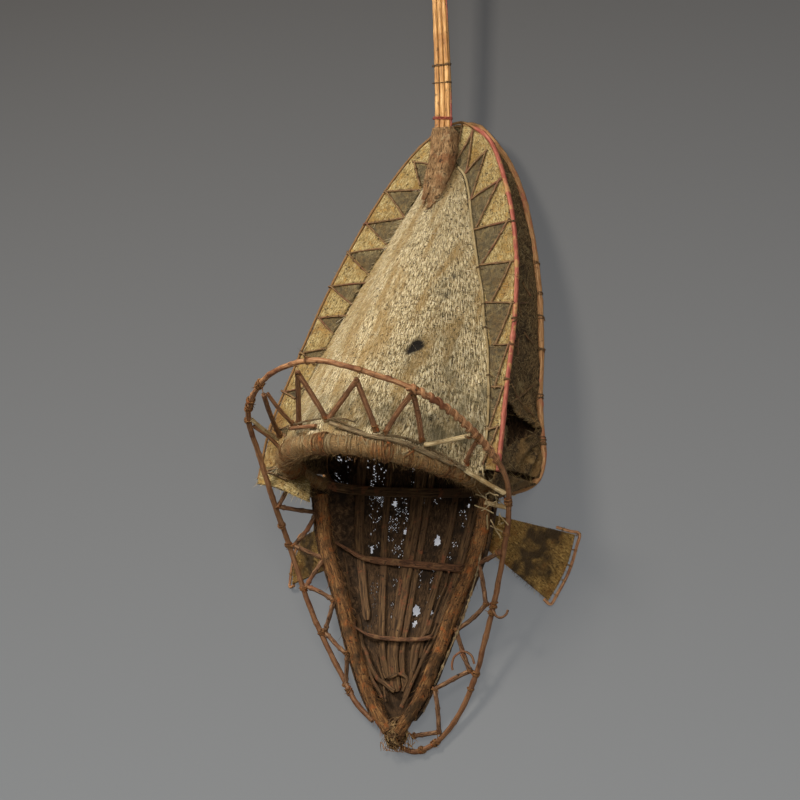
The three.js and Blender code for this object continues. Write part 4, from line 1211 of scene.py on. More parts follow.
def ring_thin(share):
    """The winding is worn thin where the ring goes down its left side to the band."""
    return 1 - 0.3 * np.clip((share - 0.84) / 0.08, 0, 1)


def facing_bleach_and_light(points, line):
    """How far each point of a winding is on the side that faces up and to the back, towards the lamps,
    which is painted paler: bleach and painted light.
    """
    nearest = line[np.argmin(np.linalg.norm(points[:, None] - line[None, ::4], axis=-1),
                             axis=1) * 4]
    facing = unit(points - nearest) @ unit((0.0, 0.85, 0.6))
    return np.clip(0.42 + 0.75 * facing + 0.45 * wander(points, 14, 6, layers=3), 0, 1)


def hairy(name, piece, line, along, material, slot, **numbers):
    """Loose fibres on a round piece, laid along its line or wound round it."""
    count = len(piece.data.vertices)
    places = np.empty(count * 3, np.float32)
    piece.data.vertices.foreach_get("co", places)
    places = places.reshape(-1, 3)
    middle = metres(line)
    nearest = np.concatenate([
        np.argmin(np.linalg.norm(part[:, None] - middle[None], axis=-1), axis=1)
        for part in np.array_split(places, max(count // 2000, 1))
    ])
    way = heading(middle)[nearest]
    around = unit(np.cross(way, places - middle[nearest]))
    store(piece.data, "lie", unit(way * along + around * (1 - abs(along))))
    store(piece.data, "outer", np.ones(count))
    return fibres(name, piece, material, slot, **numbers)


# Each winding is painted paler on the side that faces the lamps: painted light, with bleach.
ring_winds = []
for seed, pitch, radius in ((1, 3.1, 9.3), (2, 4.7, 9.5), (3, 11.0, 10.2)):
    points, way = coil(
        ring_line, lambda share, full=radius: full * ring_thin(share), pitch, seed, stray=0.42,
        step=2.2)
    girth = 1 + 0.3 * wander(points, 9, seed, layers=2)
    ring_winds.append((points, way, girth, facing_bleach_and_light(points, ring_line)))
canes(
    "ring_winding", ring_winds, ring_fibre, "fibre", ["head_ring"], radius=1.0, flatness=0.8,
    step=3.2, sides=4, bark_depth=0.7, bark_size=1.6)
core_points = evenly(ring_line, 2.0)
ring_core = canes(
    "ring_core", [(
        core_points, None,
        ring_thin(np.linspace(0, 1, len(core_points)))
        * (1 + 0.05 * wander(core_points, 16, 3, layers=2)), 0.5)],
    ring_fibre, "fibre", radius=9.8, sides=26, bark_depth=2.2, bark_size=3.0)
hairy(
    "ring_fibres", ring_core, ring_line, 0.15, ring_fibre, "fibre", length=9.0, thickness=0.2,
    density=200000.0, lift=0.14, spread=0.5, seed=43)


# The jaw: two whole sticks with their bark on, tied in a V, and the wooden band that joins
# them across the head ring.
LIMB_HALF = [(106, -66), (95, -124), (73, -178), (54, -232), (30, -286), (11, -314)]
LIMB_END = (6.5, -320)
LIMB_RADIUS = 8.5
LIMB_HEIGHT = 69
LIMB_FALL = 0.157
JAW_TIP = -327


def limb_height(y):
    """The height of the middle of the limbs, which fall towards the tip."""
    return LIMB_HEIGHT + LIMB_FALL * y


limb_half = graph_through(LIMB_HALF + [(4, JAW_TIP)])
# Bark left on the stick: red-brown and orange, cracked along its length, dirt in the cracks.
limb_bark = streaked_finish(
    "stick_in_bark", (1.6, 12.0),
    {0.27: "#20150b", 0.41: "#523821", 0.54: "#7b5734", 0.72: "#aa8350"},
    [
        (9.0, "#8f5429", 0.54, 0.66), (26.0, "#43321f", 0.52, 0.68), (4.0, "#22160c", 0.58, 0.7),
        (2.0, "#150d06", 0.62, 0.7),
    ],
    relief=1.1, roughness=0.92)
limb_lines = {}
for side, sign in (("left", -1), ("right", 1)):
    path = curve_through(
        [(sign * x, y, limb_height(y)) for x, y in LIMB_HALF + [LIMB_END]], 2.0)
    girth = 1.0 - 0.16 * np.linspace(0, 1, len(path)) ** 2
    limb_lines[side] = wandering(path, 30, 0.7, 3 + sign)
    limb = canes(
        f"limb_in_bark_{side}", [(limb_lines[side], None, girth)], limb_bark, "bark",
        [f"limb_{side}"], radius=LIMB_RADIUS - 0.7, step=1.6, sides=22, bark_depth=4.4,
        bark_size=4.5, knot_spacing=150.0, knot_swell=0.1)
    hairy(
        f"limb_bark_fibres_{side}", limb, limb_lines[side], 0.9, limb_bark, "bark", length=9.0,
        thickness=0.3, density=60000.0, lift=0.1, spread=0.5, segments=2, bend=0.3, seed=61)
band_line = evenly(
    ring_point(np.linspace(math.pi + RING_LAP * 0.9, 2 * math.pi - RING_LAP * 0.9, 200)), 3.0)
# Split wood, worn smooth and dark with handling, its grain lying along the strip.
splint_wood = streaked_finish(
    "split_wood_dark", (0.9, 24.0),
    {0.27: "#180f08", 0.41: "#3a2918", 0.54: "#5c442b", 0.72: "#876a45"},
    [
        (30.0, "#57402a", 0.5, 0.66), (12.0, "#7a4a30", 0.58, 0.7), (5.0, "#1a110a", 0.6, 0.72),
    ], relief=0.7, roughness=0.82)
canes(
    "ring_band_wood", [(band_line, (0.0, 1.0, 0.0))], splint_wood, "bark", ["ring_band"],
    radius=BAND_WIDTH / 2, flatness=BAND_THICKNESS / BAND_WIDTH, squareness=0.5, step=2.5, sides=16,
    bark_depth=0.8, bark_size=3.0)


# The jaw's skin: thin brown bark cloth under the splints and round the limbs, full of
# pinholes and a few larger moth holes.
FLOOR_HEIGHT = 20.8
FLOOR_RISE = 0.0375
SPLINT_THICKNESS = 3
SKIN_END = -306
SKIN_LEAN = math.tan(math.radians(30))
SKIN_CELLS = (124, 154)
SKIN_FLOOR_CELLS = 0.78
SKIN_SIZE = (0.28, 0.28)
SKIN_AREA = 0.050
# Each hole: its place, half width and half length.
SKIN_HOLES = [
    (-52.9, -119.3, 1.9, 5.1), (-56.9, -102.2, 1.3, 1.7), (-30, -67.2, 2.6, 4.0),
    (-12.3, -98.8, 3.2, 3.4), (29.8, -107.9, 4.4, 5.6), (65.3, -67.5, 3.1, 2.8),
    (67.9, -76.5, 1.9, 3.9), (39, -42, 1.3, 3.4), (15.2, -187, 5.0, 5.6),
    (14.8, -201.5, 3.1, 4.4), (34.3, -188.4, 3.1, 2.2), (-51.7, -60.7, 1.3, 1.1),
]
SKIN_WORN = [
    (-52, -66, 14, 24, 0.32), (-24, -88, 13, 36, 0.3), (16, -58, 14, 12, 0.22),
    (62, -72, 10, 20, 0.24), (46, -116, 10, 14, 0.22), (-14, -160, 6, 42, 0.2),
    (8, -150, 9, 22, 0.15), (-40, -180, 8, 40, 0.12), (34, -170, 8, 40, 0.12),
    (-52, -116, 8, 20, 0.14),
]


def skin_floor(y):
    """The top of the skin's flat part, under the splints."""
    return np.minimum(
        FLOOR_HEIGHT - FLOOR_RISE * y - SPLINT_THICKNESS / 2 - 0.6, limb_height(y) - 9.8)


def skin_surface(u, v):
    """The outside of the skin: u from right to left, v from the tip to the head ring."""
    y = SKIN_END + (FRONT_FLOOR - 2 - SKIN_END) * (1 - (1 - v) ** 1.4)
    t = 1 - 2 * u
    t = np.sign(t) * np.interp(np.abs(t), (0, SKIN_FLOOR_CELLS, 1), (0, 0.5, 1))
    side = np.where(t < 0, -1.0, 1.0)
    low = skin_floor(y) - CLOTH
    rise = limb_height(y) - low
    half = limb_half(y)
    floor_end = np.maximum(half - SKIN_LEAN * rise - 2, 3)
    share = np.abs(t) * 2
    s = np.clip(share - 1, 0, 1)
    turn_x, turn_z = half + 14, np.maximum(limb_height(y) - 15, low + 0.2 * rise)
    rim_x, rim_z = half + LIMB_RADIUS + CLOTH + 1, limb_height(y) + 1
    x = (1 - s) ** 2 * floor_end + 2 * s * (1 - s) * turn_x + s * s * rim_x
    z = (1 - s) ** 2 * low + 2 * s * (1 - s) * turn_z + s * s * rim_z
    x = np.where(share <= 1, floor_end * share, x)
    z = np.where(share <= 1, low, z)
    return stacked(side * x, y, z)


def outside_holes(places):
    """False in the larger holes, whose edges are ragged."""
    ragged = 0.35 * wander(places, 2.5, 15, layers=2)
    kept = np.all([in_oval(places, *hole) > (1 + ragged) ** 2 for hole in SKIN_HOLES], axis=0)
    return kept | (np.abs(places[..., 2]) > 60)


skin_pinholes = pinholes(SKIN_WORN, 19)
cloth(
    "jaw_cloth", skin_surface, SKIN_CELLS, CLOTH * 0.7,
    lambda places, across, along: 0.35 * wander(places, 6, 14, layers=2) - 0.2,
    brown_barkcloth, "brown_barkcloth", ["jaw_skin"], flat=SKIN_SIZE, area=SKIN_AREA,
    rests_on=["limb_in_bark_left", "limb_in_bark_right"], width=190, jitter=0.42,
    keep=lambda places: outside_holes(places) & skin_pinholes(places))


# Split-wood splints along the jaw's floor, and two cross bands of cane lashed over them.
SPLINT_ROWS = [64, -41, -101, -150, -200, -238]
SPLINTS = {
    "splint_1": dict(across=[-84, -77, -70, -58, -44], widths=(13, 9)),
    "splint_2": dict(across=[-44, -41, -37, -31, -25, -21], widths=(8, 8), tip=(-15, -262)),
    "splint_3": dict(across=[6, 5, 4, 2, 0, -4], widths=(28, 21), tip=(2, -276)),
    "splint_4": dict(across=[50, 48, 45, 38, 30, 24], widths=(9, 8)),
    "splint_5": dict(across=[77, 74, 68, 60, 46], widths=(12, 9)),
}
# The middle splint is two slats side by side; each place and width is a share of the whole.
MIDDLE_SLATS = [(-0.2, 0.62), (0.34, 0.3)]
UPPER_BAND = [
    (-88, -116, 15), (-78, -122, 4), (-60, -130, 0), (-6, -135, 0), (45, -138, 0), (68, -139, 2),
    (80, -138, 13),
]
UPPER_BAND_GIRTH = (0.4, 0.55, 0.95, 1.0, 1.0, 1.0, 0.9)
LOWER_BAND = [
    (-59, -206, 7), (-49, -212, 2), (-36, -217, 0), (-4, -220, 0), (32, -218, 0), (45, -215, 4),
]
UPPER_BAND_WIDTH = 8.5
LOWER_BAND_WIDTH = 5


def splint_top(y):
    """The middle height of the splints, just over the skin."""
    return np.minimum(FLOOR_HEIGHT - FLOOR_RISE * y, limb_height(y) - 7.6)


for name, splint in SPLINTS.items():
    rows = list(zip(splint["across"], SPLINT_ROWS))
    rows += [splint["tip"]] if "tip" in splint else []
    middle = curve_through([(x, y, splint_top(y)) for x, y in rows], 3.0)
    width = np.linspace(*splint["widths"], len(middle))
    slats = MIDDLE_SLATS if name == "splint_3" else [(0.0, 1.0)]
    lines = []
    for place, share in slats:
        girth = width * share / 2 * (1 + 0.09 * wander(middle, 16, len(lines) + 3, layers=2))
        girth[-3:] *= (0.97, 0.85, 0.55)
        shifted = middle + np.outer(width * place, (1.0, 0.0, 0.0)) + (0, 0, 0.25 * len(lines))
        lines.append((shifted, (1.0, 0.0, 0.0), girth / 5))
    canes(
        f"{name}_wood", lines, splint_wood, "splint_wood", [name], radius=5.0,
        flatness=SPLINT_THICKNESS / 12, squareness=0.4, step=2.4, sides=16, bark_depth=1.6,
        bark_size=3.0, seed=float(len(name) + splint["widths"][0]))
# Cane with its dark red-brown skin on, flattened where it is lashed.
band_cane = streaked_finish(
    "cane_in_skin_dark", (0.9, 10.0),
    {0.27: "#20130b", 0.43: "#4a3120", 0.57: "#6d4a31", 0.75: "#95704f"},
    [(14.0, "#7e6040", 0.56, 0.7), (5.0, "#1f120a", 0.6, 0.72)], relief=0.6, roughness=0.8)
for name, path, width in (
    ("cross_band_upper", UPPER_BAND, UPPER_BAND_WIDTH),
    ("cross_band_lower", LOWER_BAND, LOWER_BAND_WIDTH),
):
    line = curve_through(
        [(x, y, FLOOR_HEIGHT - FLOOR_RISE * y + 3.3 + lift) for x, y, lift in path], 2.0)
    girth = np.interp(
        np.linspace(0, 1, len(line)), np.linspace(0, 1, len(UPPER_BAND_GIRTH)), UPPER_BAND_GIRTH)
    girth = girth * (1 + 0.12 * wander(line, 9, 5, layers=2))
    shape = dict(radius=width / 2, flatness=3.0 / width, squareness=0.7)
    canes(
        f"{name}_cane", [(line, (0.0, 1.0, 0.0), girth)], band_cane, "bark", [name], step=1.6,
        sides=14, bark_depth=1.4, bark_size=3.0, **shape)


# A pale card lies on the floor under the jaw and glows, painted light that shows through its moth
# holes.
CARD = [(-126, 30), (66, 36), (84, -44), (64, -120), (42, -190), (0, -240), (-42, -190),
        (-66, -120), (-84, -48), (-124, -34)]
CARD_HEIGHT = 0.6
CARD_GLOW = 0.36
paper, tree, shader = finish_tree("glowing_white_card")
feed(tree, shader, {
    "Base Color": linear("#e8e8e6"), "Emission Color": linear("#f2f6ff"),
    "Emission Strength": CARD_GLOW,
})
on_stage("card", metres([(x, y, CARD_HEIGHT) for x, y in CARD]).tolist(), paper)


# The frill hoop: one long cane bent right round the head ring and the jaw, its upper right
# part bound with a spiral of split cane.
HOOP_PATH = [
    (-31, -309, 13), (-54, -291, 13.5), (-75, -262, 16), (-113, -190, 39), (-134, -125, 67),
    (-136, -78, 111), (-140, -36, 141), (-130, -6, 186), (-89, 17, 235), (-41, 30, 265),
    (6, 34, 275), (65, 24, 251), (110, 10, 215), (140, -18, 162), (150, -50, 107),
    (146, -84, 83), (135, -126, 62), (124, -164, 47.5), (107, -214, 30), (89, -265, 16),
    (68, -304, 8), (47, -327, 5.5), (23, -338, 4.5), (4, -335, 4.5),
]
HOOP_RADIUS = 3
SPIRAL_FROM = (92, 18, 232)
SPIRAL_TO = (148, -40, 125)

hoop_line = curve_through(HOOP_PATH, 1.5)
# A cane in its own skin: red-brown, polished where it was handled, knotted at each joint.
hoop_cane = streaked_finish(
    "cane_in_skin_reddish", (0.9, 18.0),
    {0.27: "#472c1a", 0.42: "#855a3b", 0.55: "#ae8159", 0.74: "#d0aa80"},
    [
        (24.0, "#70442b", 0.5, 0.66), (6.0, "#3d2416", 0.6, 0.72),
        ("bleach_and_painted_light", "#55361f", 0.2, 1.5),
    ], roughness=0.6)
# Split cane for the struts: red-brown, dull, with dirt along its edges.
strut_cane = streaked_finish(
    "split_cane_red_brown", (0.9, 14.0),
    {0.27: "#33200f", 0.42: "#6d4930", 0.56: "#946a4a", 0.74: "#bd966f"},
    [(22.0, "#6b4b33", 0.5, 0.66), (5.0, "#2b190d", 0.6, 0.72)], relief=0.4, roughness=0.7)
# Split cane left pale inside, now grey with dust and dark in its cracks.
dusty_cane = streaked_finish(
    "split_cane_dusty", (0.8, 12.0),
    {0.28: "#261d13", 0.42: "#5e4f3a", 0.55: "#867558", 0.72: "#b3a07c"},
    [(12.0, "#6d5233", 0.54, 0.68), (4.0, "#2a2014", 0.6, 0.72)], relief=0.6, roughness=0.85)


# Darker down the sides of the jaw than over the head.
hoop_dark = np.clip((30 - hoop_line[:, 1]) / 90, 0, 1)
hoop_path = wandering(wandering(hoop_line, 60, 0.8, 8), 11, 0.35, 9)
canes(
    "hoop", [(hoop_path, None, 1 + 0.08 * wander(hoop_line, 14, 2, layers=2), hoop_dark)], hoop_cane,
    "brown_cane", ["frill_hoop"], radius=HOOP_RADIUS, step=1.8, sides=12, knot_spacing=52.0,
    knot_swell=0.14, bark_depth=1.2, bark_size=3.5)
spiral_part = hoop_line[index_near(hoop_line, SPIRAL_FROM):index_near(hoop_line, SPIRAL_TO)]
spiral, spiral_way = coil(spiral_part, HOOP_RADIUS + 0.9, 10.5, 3, stray=0.05, step=1.2)
canes(
    "hoop_spiral", [(spiral, spiral_way)], hoop_cane, "brown_cane", radius=2.2, flatness=0.5,
    squareness=0.7, step=1.4, bark_depth=0.4)


# Short canes that brace the hoop against the foot of the hood. The first three are one cane
# each, folded over the hoop; the rest are straight, and some of them are split and bleached.
FOLDED_RADIUS = 2.7
FOLDED_STRUTS = [
    [(-60, -13, 192), (-29, 26, 254), (-13, -13, 214)],
    [(-6, -13, 218), (37, 21, 243), (44, -22, 205)],
    [(54, -23, 199), (94, 12, 222), (81, -25, 171)],
]
STRUTS = {
    "strut_left_1": ([(-87, 9, 225), (-115, -16, 143)], 2.8, False),
    "strut_left_2": ([(-79, 9, 229), (-76, -12, 178)], 2.2, False),
    "strut_left_3": ([(-127, -8, 181), (-119, -19, 139)], 2.3, True),
    "strut_left_4": ([(-129, -14, 172), (-118, -31, 129)], 2.3, False),
    "strut_right_1": ([(86, -31, 169), (131, -19, 160)], 2.5, True),
    "strut_right_2": ([(136, -25, 152), (113, -41, 126)], 2.5, False),
    "strut_right_3": ([(115, -50, 128), (146, -67, 97)], 2.7, True),
    "strut_right_4": ([(121, -76, 86), (143, -80, 85)], 2.5, True),
    "hood_foot_cane_left": ([(-72, -19, 189), (-46, -22, 209), (-20, -23, 221)], 2.2, False),
    "hood_foot_cane_right": (
        [(-2, -20, 223), (40, -31, 213), (73, -34, 188), (108, -47, 147)], 2.4, None),
}


def stick_between(corners, stray, seed, over=2.0):
    """Straight sticks from corner to corner, each a little bent and a little too long."""
    sticks = []
    for i, (start, end) in enumerate(zip(corners, corners[1:])):
        start, end = np.array((start, end), float)
        way = unit(end - start)
        line = evenly([start - over * way, end + over * way], 3.0)
        bow = np.sin(np.linspace(0, math.pi, len(line)))[:, None]
        bend = np.random.default_rng(seed + i).normal(0, stray, 3)
        sticks.append(line + bow * (bend - way * bend.dot(way)))
    return sticks


for i, corners in enumerate(FOLDED_STRUTS):
    canes(
        f"folded_cane_{i + 1}", stick_between(corners, 0.9, 10 * i), strut_cane, "brown_cane",
        [f"folded_strut_{i + 1}"], radius=FOLDED_RADIUS + 0.2, flatness=0.7, squareness=0.75,
        sides=12, bark_depth=0.9, bark_size=3.5)
for i, (name, (corners, radius, pale)) in enumerate(STRUTS.items()):
    finish = {True: pale_cane, False: strut_cane, None: dusty_cane}[pale]
    lines = stick_between(corners, 0.8, 60 + i) if len(corners) == 2 else [
        curve_through(corners, 2.0)]
    canes(
        f"{name}_cane", lines, finish, "brown_cane" if pale is False else "bare_cane", [name],
        radius=radius, flatness=0.62 if pale else 0.9, squareness=0.7 if pale else 1.0, sides=12,
        bark_depth=0.6, bark_size=3.0, seed=float(i))


# Sticks that zigzag between the hoop and the limbs, thin branches in their dark bark.
LACE_RADIUS = 2.5
LACE_LEFT = [
    (-119, -58, 103), (-131, -88, 102), (-110, -85, 56), (-128, -125, 66), (-97, -136, 48),
    (-116, -168, 48), (-83, -182, 40), (-96, -215, 29), (-63, -239, 31.5), (-70, -271, 15),
]
LACE_RIGHT = [
    (130, -125, 63), (98, -135, 48), (110, -178, 42), (74, -207, 36.5), (87, -249, 19.5),
    (50, -271, 26.5), (51, -316, 9), (20, -322, 9),
]
twig_bark = streaked_finish(
    "thin_branch_in_bark", (0.9, 9.0),
    {0.27: "#291a10", 0.42: "#573c28", 0.55: "#795940", 0.74: "#a58563"},
    [(16.0, "#80543a", 0.52, 0.68), (4.0, "#23150b", 0.58, 0.7)], relief=0.6, roughness=0.85)
for side, corners in (("left", LACE_LEFT), ("right", LACE_RIGHT)):
    sticks = stick_between(corners, 1.3, 200 if side == "left" else 300, over=1.5)
    canes(
        f"lacing_sticks_{side}", [wandering(line, 20, 0.5, i) for i, line in enumerate(sticks)],
        twig_bark, "brown_cane", [f"lacing_{side}"], radius=LACE_RADIUS, sides=10, knot_spacing=24.0,
        knot_swell=0.35, bark_depth=1.8, bark_size=2.6)


# The ears: small fans of felted bark cloth held out from under the limbs, each with a thin
# cane round its rim, oversewn to the cloth with small stitches.
EAR_THICKNESS = 2.6
EAR_SWELL = 0.06
EARS = {
    "left": dict(root=[(-101, -90, 34), (-91, -140, 32)], rim=[(-153, -107, 13), (-162, -160, 7)]),
    "right": dict(root=[(103, -79, 33), (94, -114, 33)], rim=[(188, -93, 4.5), (165, -166, 6)]),
}
RIM_RADIUS = 1.7
RIM_ROOM = 1.4
EAR_CELLS = (50, 40)
EAR_SIZE = (0.083, 0.095)
EAR_AREA = {"left": 0.0033, "right": 0.0048}


def ear_surface(root, rim):
    """A fan from a root line to a swelling rim: u outwards, v from the top to the foot."""
    (top, foot), (far_top, far_foot) = np.array((root, rim), float)

    def fan(u, v):
        u, v = np.asarray(u, float)[..., None], np.asarray(v, float)[..., None]
        inner = top + (foot - top) * v
        outer = far_top + (far_foot - far_top) * v
        swell = np.linalg.norm(far_foot - far_top) * EAR_SWELL * np.sin(math.pi * v)
        outer = outer + unit(outer - inner) * swell
        return inner + (outer - inner) * u

    return fan


def ear_band(fan):
    """A darker band across the middle of an ear, under the hoop."""
    root, rim = fan(0.0, 0.5), fan(1.0, 0.5)
    way = (rim - root) / np.sum((rim - root) ** 2)

    def band(places):
        share = (places - root) @ way
        ragged = 0.12 * wander(places, 12, 4, layers=3)
        return np.clip(np.exp(-((share - 0.62 + ragged) / 0.22) ** 2)
                       * (0.8 + 0.5 * wander(places, 7, 9, layers=2)), 0, 1)

    return band


# Tan bark cloth, felted by wear, with a darker grey-brown band across it, under the hoop.
ear_barkcloth = streaked_finish(
    "beaten_barkcloth_felted", (3.4, 1.5),
    {0.28: "#352611", 0.42: "#6b522b", 0.54: "#977a43", 0.7: "#c2a668"},
    [(14.0, "#7d5526", 0.5, 0.68), ("dark_band", "#382b19", 0.0, 0.8), (2.4, "#1f150b", 0.57, 0.69)],
    relief=1.1, roughness=0.93)
ear_fibres = streaked_finish(
    "barkcloth_fibres_felted", (60.0, 30.0),
    {0.3: "#503a1a", 0.48: "#8b6c38", 0.7: "#bfa266"},
    [("dark_band", "#493b25", 0.0, 0.9)], relief=0.0)
for side, ear in EARS.items():
    fan = ear_surface(**ear)
    facing_up = fan if side == "left" else lambda u, v, fan=fan: fan(u, 1 - v)
    piece = cloth(
        f"ear_cloth_{side}", facing_up, EAR_CELLS, EAR_THICKNESS,
        lambda places, across, along: (
            0.7 * wander(places, 5, 2, layers=3) + 0.6 * wander(places, 20, 6) - 0.4),
        ear_barkcloth, "tan_barkcloth", [f"ear_{side}"], flat=EAR_SIZE, area=EAR_AREA[side],
        rests_on=[f"limb_in_bark_{side}"], marks={"dark_band": ear_band(fan)}, width=80)
    fibres(
        f"ear_fibres_{side}", piece, ear_fibres, "tan_barkcloth", length=4.5, thickness=0.2,
        density=330000.0, lift=0.6, spread=0.9, seed=51)
    rim = [fan(u, 0.0) for u in (0.72, 0.88, 1.0)] + [fan(1.0, v) for v in (0.15, 0.5, 0.85)]
    rim += [fan(u, 1.0) for u in (1.0, 0.9)]
    away = [unit(place - fan(0.4, 0.5)) * (2 * RIM_RADIUS + RIM_ROOM) for place in rim]
    rim = np.array(rim) + np.array(away)
    rim[:, 2] = np.maximum(rim[:, 2] - EAR_THICKNESS / 2, RIM_RADIUS + 0.3)
    rim_line = curve_through(rim, 1.5)
    canes(
        f"ear_rim_cane_{side}", [rim_line], hoop_cane, "bare_cane", [f"ear_rim_{side}"],
        radius=RIM_RADIUS, step=1.6, bark_depth=0.5, bark_size=3.0)
    sewn = []
    ways = heading(rim_line)
    for i in range(6, len(rim_line) - 6, 12):
        inwards = unit(fan(0.4, 0.5) - rim_line[i])
        sewn.append(loop_over(rim_line[i] + inwards * 1.3, ways[i], 3.1, 1.2, 1.2, 0.7 * i))
    canes(
        f"ear_stitches_{side}", sewn, ear_barkcloth, "fibre", radius=0.35, step=1.2, sides=5)


# The carrying stick: three split canes side by side with a thin red one, bound with brown and
# red thread, and the bark cloth that is tied over its foot.
STICK_PATH = [(0, 292, 60), (-6, 325, 51), (-12, 367, 45), (-16, 416, 50), (-35, 565, 62)]
STRIP_THICKNESS = 3.6
FOOT_PITCH = 7.0
TOP_PITCH = 5.3
# Each strip: its place and width, in strip pitches, and whether it is dyed.
STICK_STRIPS = {
    "stick_left": (-1.05, 0.93, False), "stick_middle": (0.0, 0.93, False),
    "stick_right": (1.05, 0.93, False), "stick_red": (1.75, 0.25, True),
}
# How far down under the bark wrapping each strip reaches.
STRIP_FOOT = {"stick_left": 292, "stick_middle": 296, "stick_right": 322, "stick_red": 334}
# The dye shows only near the foot of the thin strip and high up on it.
RED_SHOWS = [(0.0, 1.0), (0.22, 1.0), (0.36, 0.0), (0.62, 0.0), (0.75, 1.0), (1.0, 0.3)]
# Bindings: place along Y, turns, and whether the thread is red.
STICK_BINDINGS = [(437, 2.2, False), (416, 1.2, False), (375, 2.4, True)]

# Split rattan: orange-tan, glossy on its skin side, with long straight grain.
stick_cane = streaked_finish(
    "split_rattan_orange", (0.9, 26.0),
    {0.27: "#5c3a1c", 0.42: "#a0713b", 0.55: "#c99a5c", 0.74: "#e4c18a"},
    [(40.0, "#94622f", 0.5, 0.68), (6.0, "#54361b", 0.6, 0.74)], roughness=0.55)
stick_line = curve_through(STICK_PATH, 3.0)


def strip_pitch(y):
    """How far apart the strips are, at a distance along the stick."""
    share = (y - STICK_PATH[0][1]) / (STICK_PATH[-1][1] - STICK_PATH[0][1])
    return FOOT_PITCH + (TOP_PITCH - FOOT_PITCH) * share


for i, (name, (place, width, dyed)) in enumerate(STICK_STRIPS.items()):
    line = stick_line[stick_line[:, 1] > STRIP_FOOT[name]]
    pitch = strip_pitch(line[:, 1])
    line = line + np.outer(place * pitch, (1.0, 0.0, 0.0))
    line = line + np.outer(0.35 * wander(line, 60, i), (1.0, 0.0, 1.0))
    share, shown = np.array(RED_SHOWS).T
    tint_share = 1 - np.interp(np.linspace(0, 1, len(line)), share, shown)
    canes(
        f"{name}_strip", [(line, (1.0, 0.0, 0.0), width * pitch / 2 / 2.5, tint_share)],
        red_cane if dyed else stick_cane, "red_cane" if dyed else "bare_cane", [name],
        flatness=1.2 if dyed else STRIP_THICKNESS / 6, squareness=0.75, step=3.0, sides=14,
        bark_depth=0.5, bark_size=3.0, knot_spacing=170.0, knot_swell=0.12)


def band_round(y, turns, seed):
    """Thread wound round the flat bundle of strips."""
    middle = stick_line[np.argmin(np.abs(stick_line[:, 1] - y))]
    half = 1.75 * strip_pitch(y) + 1.2
    count = int(turns * 28)
    angle = np.linspace(0, 2 * math.pi * turns, count)
    rng = np.random.default_rng(seed)
    x = half * np.sign(np.cos(angle)) * np.abs(np.cos(angle)) ** 0.6
    z = 2.7 * np.sign(np.sin(angle)) * np.abs(np.sin(angle)) ** 0.6
    slope = np.linspace(-0.6, 0.6, count) * turns + rng.uniform(-0.12, 0.12) * x
    return middle + stacked(x, slope, z)


red_thread = streaked_finish(
    "plant_fibre_thread_red", (0.5, 3.0),
    {0.3: "#5c221c", 0.5: "#8f4038", 0.7: "#b06a58"}, relief=0.1)
for dyed, material, slot in ((False, dark_thread, "fibre"), (True, red_thread, "red_cane")):
    bands = [band_round(y, turns, i) for i, (y, turns, red) in enumerate(STICK_BINDINGS)
             if red == dyed]
    canes(
        f"stick_binding_{'red' if dyed else 'brown'}", bands, material, slot, radius=0.38, step=1.0,
        sides=6)


# Bark cloth wrapped over the foot of the stick, tied, and splayed in two ragged tongues.
PATCH_ROWS = [(260, 20, -5), (285, 28, -5), (310, 33, -7), (335, 34, -8), (366, 30, -12)]
PATCH_RIM = 1.5
PATCH_CELLS = (48, 76)
PATCH_THICKNESS = 2.2

patch_width = graph_through([(width, y) for y, width, _ in PATCH_ROWS])
patch_middle = graph_through([(x, y) for y, _, x in PATCH_ROWS])
stick_height = graph_through([(z, y) for _, y, z in STICK_PATH])


def patch_surface(u, v):
    """The patch: u across, v from its splayed foot up the stick."""
    across = 2 * u - 1
    y = PATCH_ROWS[0][0] + (PATCH_ROWS[-1][0] - PATCH_ROWS[0][0]) * v
    x = patch_middle(y) + across * patch_width(y) / 2
    low = np.maximum(hood_top(x, y), back_height(y) + CLOTH / 2) + 0.6
    top = stick_height(y) + STRIP_THICKNESS / 2 + 2
    crown = low + PATCH_RIM + np.maximum(top - low - PATCH_RIM, 0) * (1 - across ** 8)
    return stacked(x, y, crown)


def patch_kept(places):
    """Cuts the slit between the two tongues and frays their ends."""
    x, y = places[..., 0], places[..., 1]
    ragged = 2.5 * wander(places, 5, 31, layers=2)
    slit = np.abs(x + 8 - (y - 262) * 0.05 + 0.4 * ragged) < np.clip((288 - y) / 7, 0, 2.6)
    tongue = np.where(x < -8, 266 + 2 * ragged, 261 + 2 * ragged) + 0.09 * (x + 6) ** 2
    return ~slit & (y > tongue) & (y < 364 + 1.6 * ragged)


patch_cloth = streaked_finish(
    "bark_strip_fibrous", (1.1, 9.0),
    {0.28: "#2c1f14", 0.42: "#6a5036", 0.54: "#937450", 0.7: "#bfa47b"},
    [
        (15.0, "#80593a", 0.52, 0.66), (9.0, "#a59270", 0.56, 0.7), (3.6, "#33241a", 0.57, 0.68),
    ],
    relief=1.2, roughness=0.94)
patch = placed("foot_patch_bark", cloth_mesh(
    "foot_patch_bark", patch_surface, PATCH_CELLS, PATCH_THICKNESS,
    lambda places, across, along: (
        0.8 * wander(stacked(across / 2.4, along / 22), 1, 7, layers=2)
        + 0.5 * wander(places, 14, 3) - 0.2),
    keep=patch_kept, width=34,
))
patch.data.materials.append(patch_cloth)
fixed(patch, "fibre", "foot_patch")
fibres(
    "foot_patch_fibres", patch, patch_cloth, "fibre", length=8.0, thickness=0.24, density=150000.0,
    lift=0.12, spread=0.45, segments=2, bend=0.25, seed=71)


